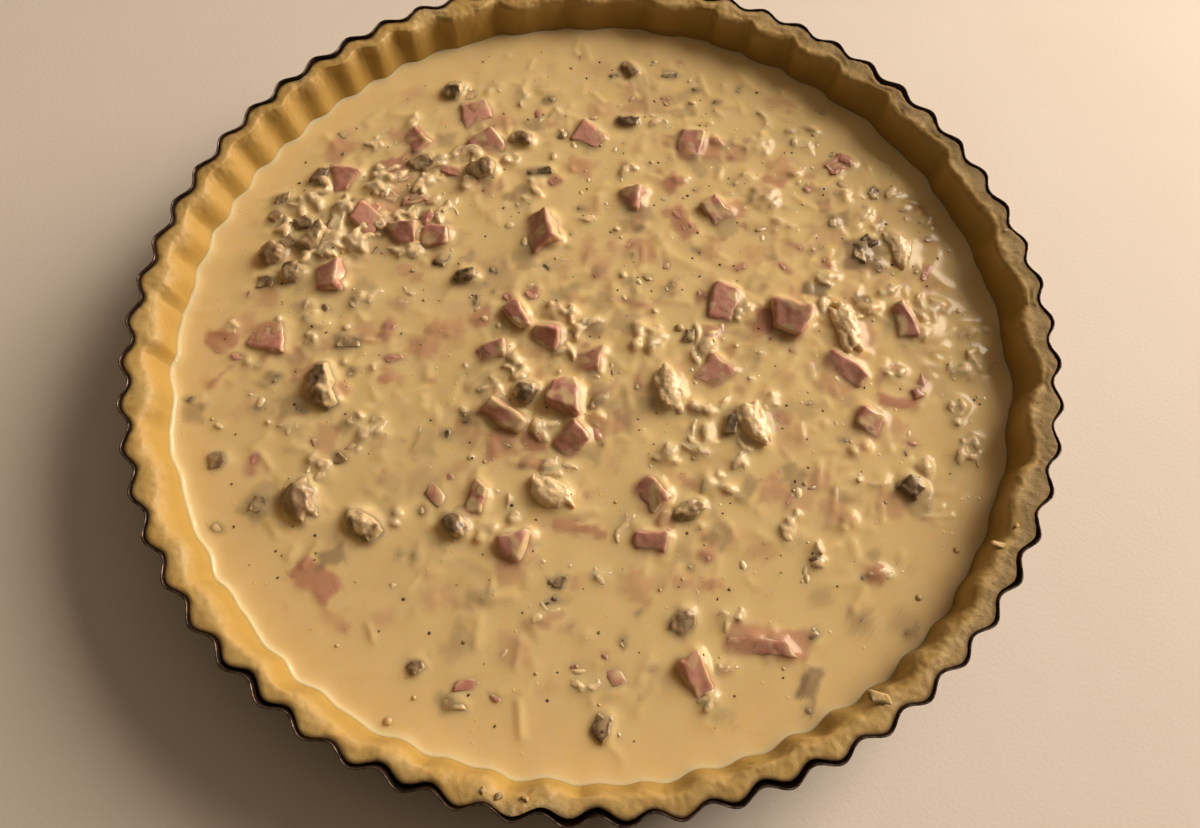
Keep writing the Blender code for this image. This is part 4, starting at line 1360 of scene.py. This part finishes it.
def custard_maps():
    """The custard's skin above its level, and how strongly ham and mushroom show through it."""
    wobble = 0.9 * raster_hills(2.4 * MM, 5.5)
    uneven_climb = 1 + 0.65 * raster_hills(5 * MM, 2.2)
    bare = height_map(floating["ham"] + floating["mushroom"])
    lumps = height_map(floating["lump"])
    shreds = height_map(floating["shred"])
    stains = {
        "ham": sunk_map("ham", SUNK_HAM, SCATTERED_SUNK_HAM, wobble),
        "mushroom": sunk_map("mushroom", SUNK_MUSHROOM, SCATTERED_SUNK_MUSHROOM, wobble),
    }
    over_stains = 0.35 * MM * blur(np.maximum(stains["ham"], stains["mushroom"]), 0.8 * MM)
    low_ridges = ridge_map() + over_stains
    skin = np.maximum.reduce([
        climbing(moved(bare, LIT_FLANK, 0.5 * MM), share=1.3 * uneven_climb, **CLIMBS["bare"]),
        climbing(lumps, share=1.0 * uneven_climb, **CLIMBS["lump"]),
        climbing(shreds, share=1.2 * uneven_climb, **CLIMBS["shred"]),
        blur(np.maximum(shreds, 0), 0.4 * MM) * 0.98,
    ])
    skin = skin + low_ridges * np.exp(-skin / (0.8 * MM))
    for kind, shown in stains.items():
        tops = height_map(floating[kind])
        cover = np.maximum(skin - tops, 0)
        showing = np.exp(-cover / (0.45 * MM)) * (tops > -2 * MM)
        np.maximum(shown, CLEAREST * blur(showing, 0.5 * MM), out=shown)
    return skin, stains


def near_skin(above, ragged, upright):
    """Film on what is near the skin, most where it slopes."""
    sloping = 0.35 + 0.65 * smoothstep(0.95, 0.7, upright)
    return smoothstep(0.5 * MM, -0.2 * MM, above + 0.3 * MM * ragged) * sloping


def add_films(skin):
    """Marks where each bare piece is wet with custard, partly as painted highlight on its lit flank, and how
    light its own flesh is, with painted light on its steep sides.
    """
    flow = np.array([*cos_sin(LIT_FLANK), 0])
    for piece in floating["ham"] + floating["mushroom"]:
        points = points_of(piece)
        normals = read_all(piece.data.vertex_normals, "vector")
        single = not piece.name.endswith("bits")
        middle = points.mean(0) if single else points
        above = points[:, 2] - LEVEL - at(skin, points[:, 0], points[:, 1])
        ragged = hills(points, 2.2 * MM, seed=4.4)
        steep = smoothstep(0.92, 0.6, normals[:, 2] + 0.12 * ragged)
        thick = np.clip(0.62 + 0.75 * hills(points, 13 * MM, seed=6.6), 0.1, 1)
        # cream film on the flank that faces the window: partly custard coating, partly painted highlight
        lit_flank = steep * smoothstep(-0.25, 0.45, normals @ flow) * thick
        coated = np.clip(0.55 + 0.9 * hills(np.atleast_2d(middle), 19 * MM, seed=1.2), 0, 1)
        blotches = smoothstep(0.1 - 0.5 * coated, 0.7, hills(points, 4.5 * MM, seed=8.1))
        covers = [near_skin(above, ragged, normals[:, 2]), lit_flank, (0.45 + 0.45 * coated) * blotches]
        if single:  # cream film over the top on the lit side: partly custard coating, partly painted highlight
            beside = (points - middle) @ flow
            edge = beside / np.abs(beside).max() + 0.55 * hills(points, 3.5 * MM, seed=5.2)
            covers.append(smoothstep(0.15, 0.85, edge) * (0.35 + 0.6 * coated))
        own_tone = 0.6 * hills(np.atleast_2d(middle), 14 * MM, seed=2.7)
        tone = 0.5 + own_tone + 0.25 * hills(points, 9 * MM, seed=3.9)
        if piece in floating["mushroom"]:
            at_back = smoothstep(40 * MM, 80 * MM, points[:, 1])  # where the darkest lie
            tone = tone - 0.1 - 0.3 * at_back
        # steep sides are made paler: partly paler cut flesh, partly painted light for cut sides lit by the
        # window
        add_attributes(piece, film=np.maximum.reduce(covers), tone=np.clip(tone + 0.35 * steep, 0, 1))


def custard_radius(bearing):
    return case_inside(LEVEL) + inner_waves(bearing) + WALL_OVERLAP


def divide_busiest(custard, busy, share_divided):
    """Divides this share of the custard's faces again: those at the wall, and those where most happens."""
    centres = read_all(custard.data.polygons, "center")
    near_wall = np.hypot(centres[:, 0], centres[:, 1]) > case_inside(LEVEL) - DIVIDED_AT_WALL
    busy_here = np.where(near_wall, 1.0, at(busy, centres[:, 0], centres[:, 1]))
    alone(custard)
    start_editing("DESELECT")
    stop_editing()
    custard.data.polygons.foreach_set("select", busy_here > np.quantile(busy_here, 1 - share_divided))
    bpy.ops.object.mode_set(mode="EDIT")
    bpy.ops.mesh.subdivide(number_cuts=1)
    stop_editing()


def make_custard(skin, stains):
    """A disc whose skin climbs the pieces and the dough, over a body that fills the case."""
    deselect_all()
    cells = {"x_subdivisions": CUSTARD_CELLS, "y_subdivisions": CUSTARD_CELLS}
    bpy.ops.mesh.primitive_grid_add(size=2.0, location=(0, 0, 0), **cells)
    custard = bpy.context.object
    custard.name = "custard_filling"
    square = points_of(custard)
    x = square[:, 0] * np.sqrt(1 - square[:, 1] ** 2 / 2)
    y = square[:, 1] * np.sqrt(1 - square[:, 0] ** 2 / 2)
    reach = custard_radius(np.arctan2(y, x))
    set_points(custard, np.column_stack([x * reach, y * reach, np.full(len(x), LEVEL)]))

    busy = blur(np.abs(skin - blur(skin, 1.2 * MM)), 0.8 * MM) / (0.5 * MM)
    for shown in stains.values():
        busy = busy + 0.6 * blur(np.abs(shown - blur(shown, 1 * MM)), 0.8 * MM)
    for share_divided in DIVIDED_SHARES:
        divide_busiest(custard, busy, share_divided)

    points = points_of(custard)
    x, y = points[:, 0], points[:, 1]
    bearing, radius = np.arctan2(y, x), np.hypot(x, y)
    from_wall = np.maximum(custard_radius(bearing) - WALL_OVERLAP - radius, 0)
    swell = 0.12 * MM * hills(points, 22 * MM, seed=1.7) + 0.07 * MM * hills(points, 7 * MM, seed=6.1)
    wall_climb = LEAST_CLIMB + marked(bearing, CLIMBS_MORE)
    wall_rise = wall_climb * MM * np.exp(-from_wall / (0.85 * MM))
    points[:, 2] = LEVEL + at(skin, x, y) + swell + wall_rise
    set_points(custard, points)
    sunk_ham, sunk_mushroom = (at(stains[kind], x, y) for kind in ("ham", "mushroom"))
    # painted highlight along the meniscus, where the custard climbs the dough
    at_wall = 0.7 * np.exp(-from_wall / (1.0 * MM))
    add_attributes(custard, sunk_ham=sunk_ham, sunk_mushroom=sunk_mushroom, at_wall=at_wall)

    start_editing("DESELECT", parts="EDGE")
    bpy.ops.mesh.select_non_manifold()
    foot = DOUGH_FLOOR + 0.1 * MM
    bpy.ops.mesh.extrude_edges_move(TRANSFORM_OT_translate={"value": (0, 0, foot - LEVEL)})
    share = (case_inside(foot) + 0.4 * MM) / case_inside(LEVEL)
    bpy.ops.transform.resize(value=(share, share, 0), center_override=(0, 0, foot))
    bpy.ops.mesh.edge_face_add()
    stop_editing()
    smooth_shade(custard)
    finish_piece(custard, custard_material, "custard", "filling")


# ---------------------------------------------------------------------------
# Specks, bubbles and crumbs

SPECK_REACH = 121 * MM
BUBBLE_REACH = 119  # mm
SMALL_BUBBLES = 70
PEPPER_SPECKS = 170
HERB_SPECKS = 46
# Bubbles large enough to have a place of their own: x, y, width in mm
LARGE_BUBBLES = (
    (27, 5, 3.0), (-52, -115, 2.5), (93, -79, 2.0), (105.5, -65, 2.0), (-88, -52, 1.8), (118, -58, 2.2),
)
# Loose crumbs on the dough's top: x, y, length, width, turn
CRUMBS = (
    (112.7, -66.6, 5.2, 1.4, -12), (75.5, -107.6, 5.6, 2.8, -15), (-20.3, -132.5, 2.2, 1.4, 20),
    (-24.5, -131.5, 1.6, 1.2, 60), (-14.0, -133.0, 1.8, 1.0, -30), (118.0, -61.0, 1.3, 1.0, 40),
    (130.0, 36.0, 1.4, 1.0, 10),
)


def skin_height(skin, x, y):
    return LEVEL + float(at(skin, np.array([x]), np.array([y]))[0])


def make_specks(skin):
    """Flat grains of pepper and herb, evenly over the custard, and bubbles that stand up as low domes."""
    chance = random.Random(SEEDS["specks"])
    for name, count, (smallest, largest), material in (
        ("pepper_specks", PEPPER_SPECKS, (0.4, 1.15), pepper_material),
        ("herb_specks", HERB_SPECKS, (0.5, 1.3), herb_material),
    ):
        copies = []
        for _ in range(count):
            x, y = disc_place(chance, SPECK_REACH)
            across = chance.uniform(smallest, largest) * MM
            points, faces = SPECK_MODEL
            flat = points * (across / 2, across / 2 * chance.uniform(0.5, 1), across * 0.22)
            grain_points = turned_points(flat, chance.uniform(0, 180), 0)
            copies.append((grain_points + (x, y, skin_height(skin, x, y) + 0.02 * MM), faces))
        finish_joined(name, copies, material, "mushroom")
    rows = list(LARGE_BUBBLES)
    for _ in range(SMALL_BUBBLES):
        rows.append((*disc_place(chance, BUBBLE_REACH), chance.uniform(0.7, 1.4)))
    bubbles = []
    for x, y, across in rows:
        points, faces = BUBBLE_MODEL
        dome = points * (across / 2, across / 2, across * 0.34) * MM
        bubbles.append((dome + (x * MM, y * MM, skin_height(skin, x * MM, y * MM) - 0.05 * MM), faces))
    finish_joined("air_bubbles", bubbles, bubble_material, "custard")


def make_crumbs():
    """A pale sliver and a few crumbs of dough, left on the case's top."""
    chance = random.Random(SEEDS["crumbs"])
    case = points_of(bpy.data.objects["pastry_case"])
    copies = []
    for x, y, length, width, turn in CRUMBS:
        beside = np.hypot(case[:, 0] - x * MM, case[:, 1] - y * MM)
        height = min(case[beside < 1.5 * MM, 2].max(), RIM - 0.5 * MM)
        sides = length * MM, width * MM, 1.2 * MM
        copies.append(bit(x * MM, y * MM, height + 0.5 * MM, *sides, turn, chance))
    crumbs = finish_joined("dough_crumbs", copies, dough_material, "raw_pastry")
    add_attributes(crumbs, crumbly=np.ones(len(crumbs.data.vertices)))


# ---------------------------------------------------------------------------
# Floor, camera and light

CAMERA_PLACE = Vector((0, -0.1340, RIM + 0.2419))
CAMERA_TARGET = Vector((0.00226, -0.0309, RIM))
CAMERA_ROLL = 0.04468  # radians
CAMERA_LENS, CAMERA_SENSOR = 27.45, 36  # mm
CEILING_PLACE = Vector((0.3, 0.2, 2.2))
WINDOW_BEARING, WINDOW_ELEVATION, WINDOW_DISTANCE = 31, 26, 1.8
ROOM_STRENGTH = 0.02
FLOOR_SIZE = 6
NEAREST, FURTHEST = 0.01, 10  # that the camera sees


def make_floor():
    deselect_all()
    bpy.ops.mesh.primitive_plane_add(size=FLOOR_SIZE, location=(0, 0, 0))
    floor = bpy.context.object
    floor.name = "table"
    floor.data.materials.append(floor_material)


def make_camera():
    data = bpy.data.cameras.new("camera")
    data.lens = CAMERA_LENS
    data.sensor_width = CAMERA_SENSOR
    data.clip_start, data.clip_end = NEAREST, FURTHEST
    camera = new_object("camera", data)
    forward = (CAMERA_TARGET - CAMERA_PLACE).normalized()
    right = forward.cross(Vector((0, 0, 1))).normalized()
    up = right.cross(forward)
    side = math.cos(CAMERA_ROLL) * right + math.sin(CAMERA_ROLL) * up
    over = -math.sin(CAMERA_ROLL) * right + math.cos(CAMERA_ROLL) * up
    facing = Matrix((side, over, -forward)).transposed().to_4x4()
    camera.matrix_world = Matrix.Translation(CAMERA_PLACE) @ facing
    bpy.context.scene.camera = camera


def make_area_light(name, place, width, height, energy, color):
    """A rectangle of light that faces the quiche."""
    data = bpy.data.lights.new(name, "AREA")
    data.shape = "RECTANGLE"
    data.size, data.size_y = width, height
    data.energy, data.color = energy, color
    light = new_object(name, data)
    light.location = place
    light.rotation_euler = (-place).to_track_quat("-Z", "Y").to_euler()


def make_light():
    """A tall warm window, low on the right, a faint warm glow from above, and a little light all round."""
    (c, s), (flat, rise) = cos_sin(WINDOW_BEARING), cos_sin(WINDOW_ELEVATION)
    window_place = Vector((c * flat, s * flat, rise)) * WINDOW_DISTANCE
    make_area_light("window_light", window_place, width=1.1, height=1.5, energy=57.5, color=WINDOW_LIGHT)
    make_area_light("ceiling_glow", CEILING_PLACE, width=2.5, height=2.5, energy=8.6, color=CEILING_LIGHT)
    world = bpy.data.worlds.new("room")
    world.use_nodes = True
    set_inputs(world.node_tree.nodes["Background"], {"Color": ROOM_LIGHT, "Strength": ROOM_STRENGTH})
    bpy.context.scene.world = world
    bpy.context.scene.view_settings.view_transform = "Standard"


# ---------------------------------------------------------------------------
# Run

make_camera()
make_light()
make_floor()
make_tin()
make_pastry()
make_crumbs()
make_floating_pieces()
make_cheese()
make_shreds()
make_bits()
custard_skin, sunk_stains = custard_maps()
add_films(custard_skin)
make_custard(custard_skin, sunk_stains)
make_specks(custard_skin)
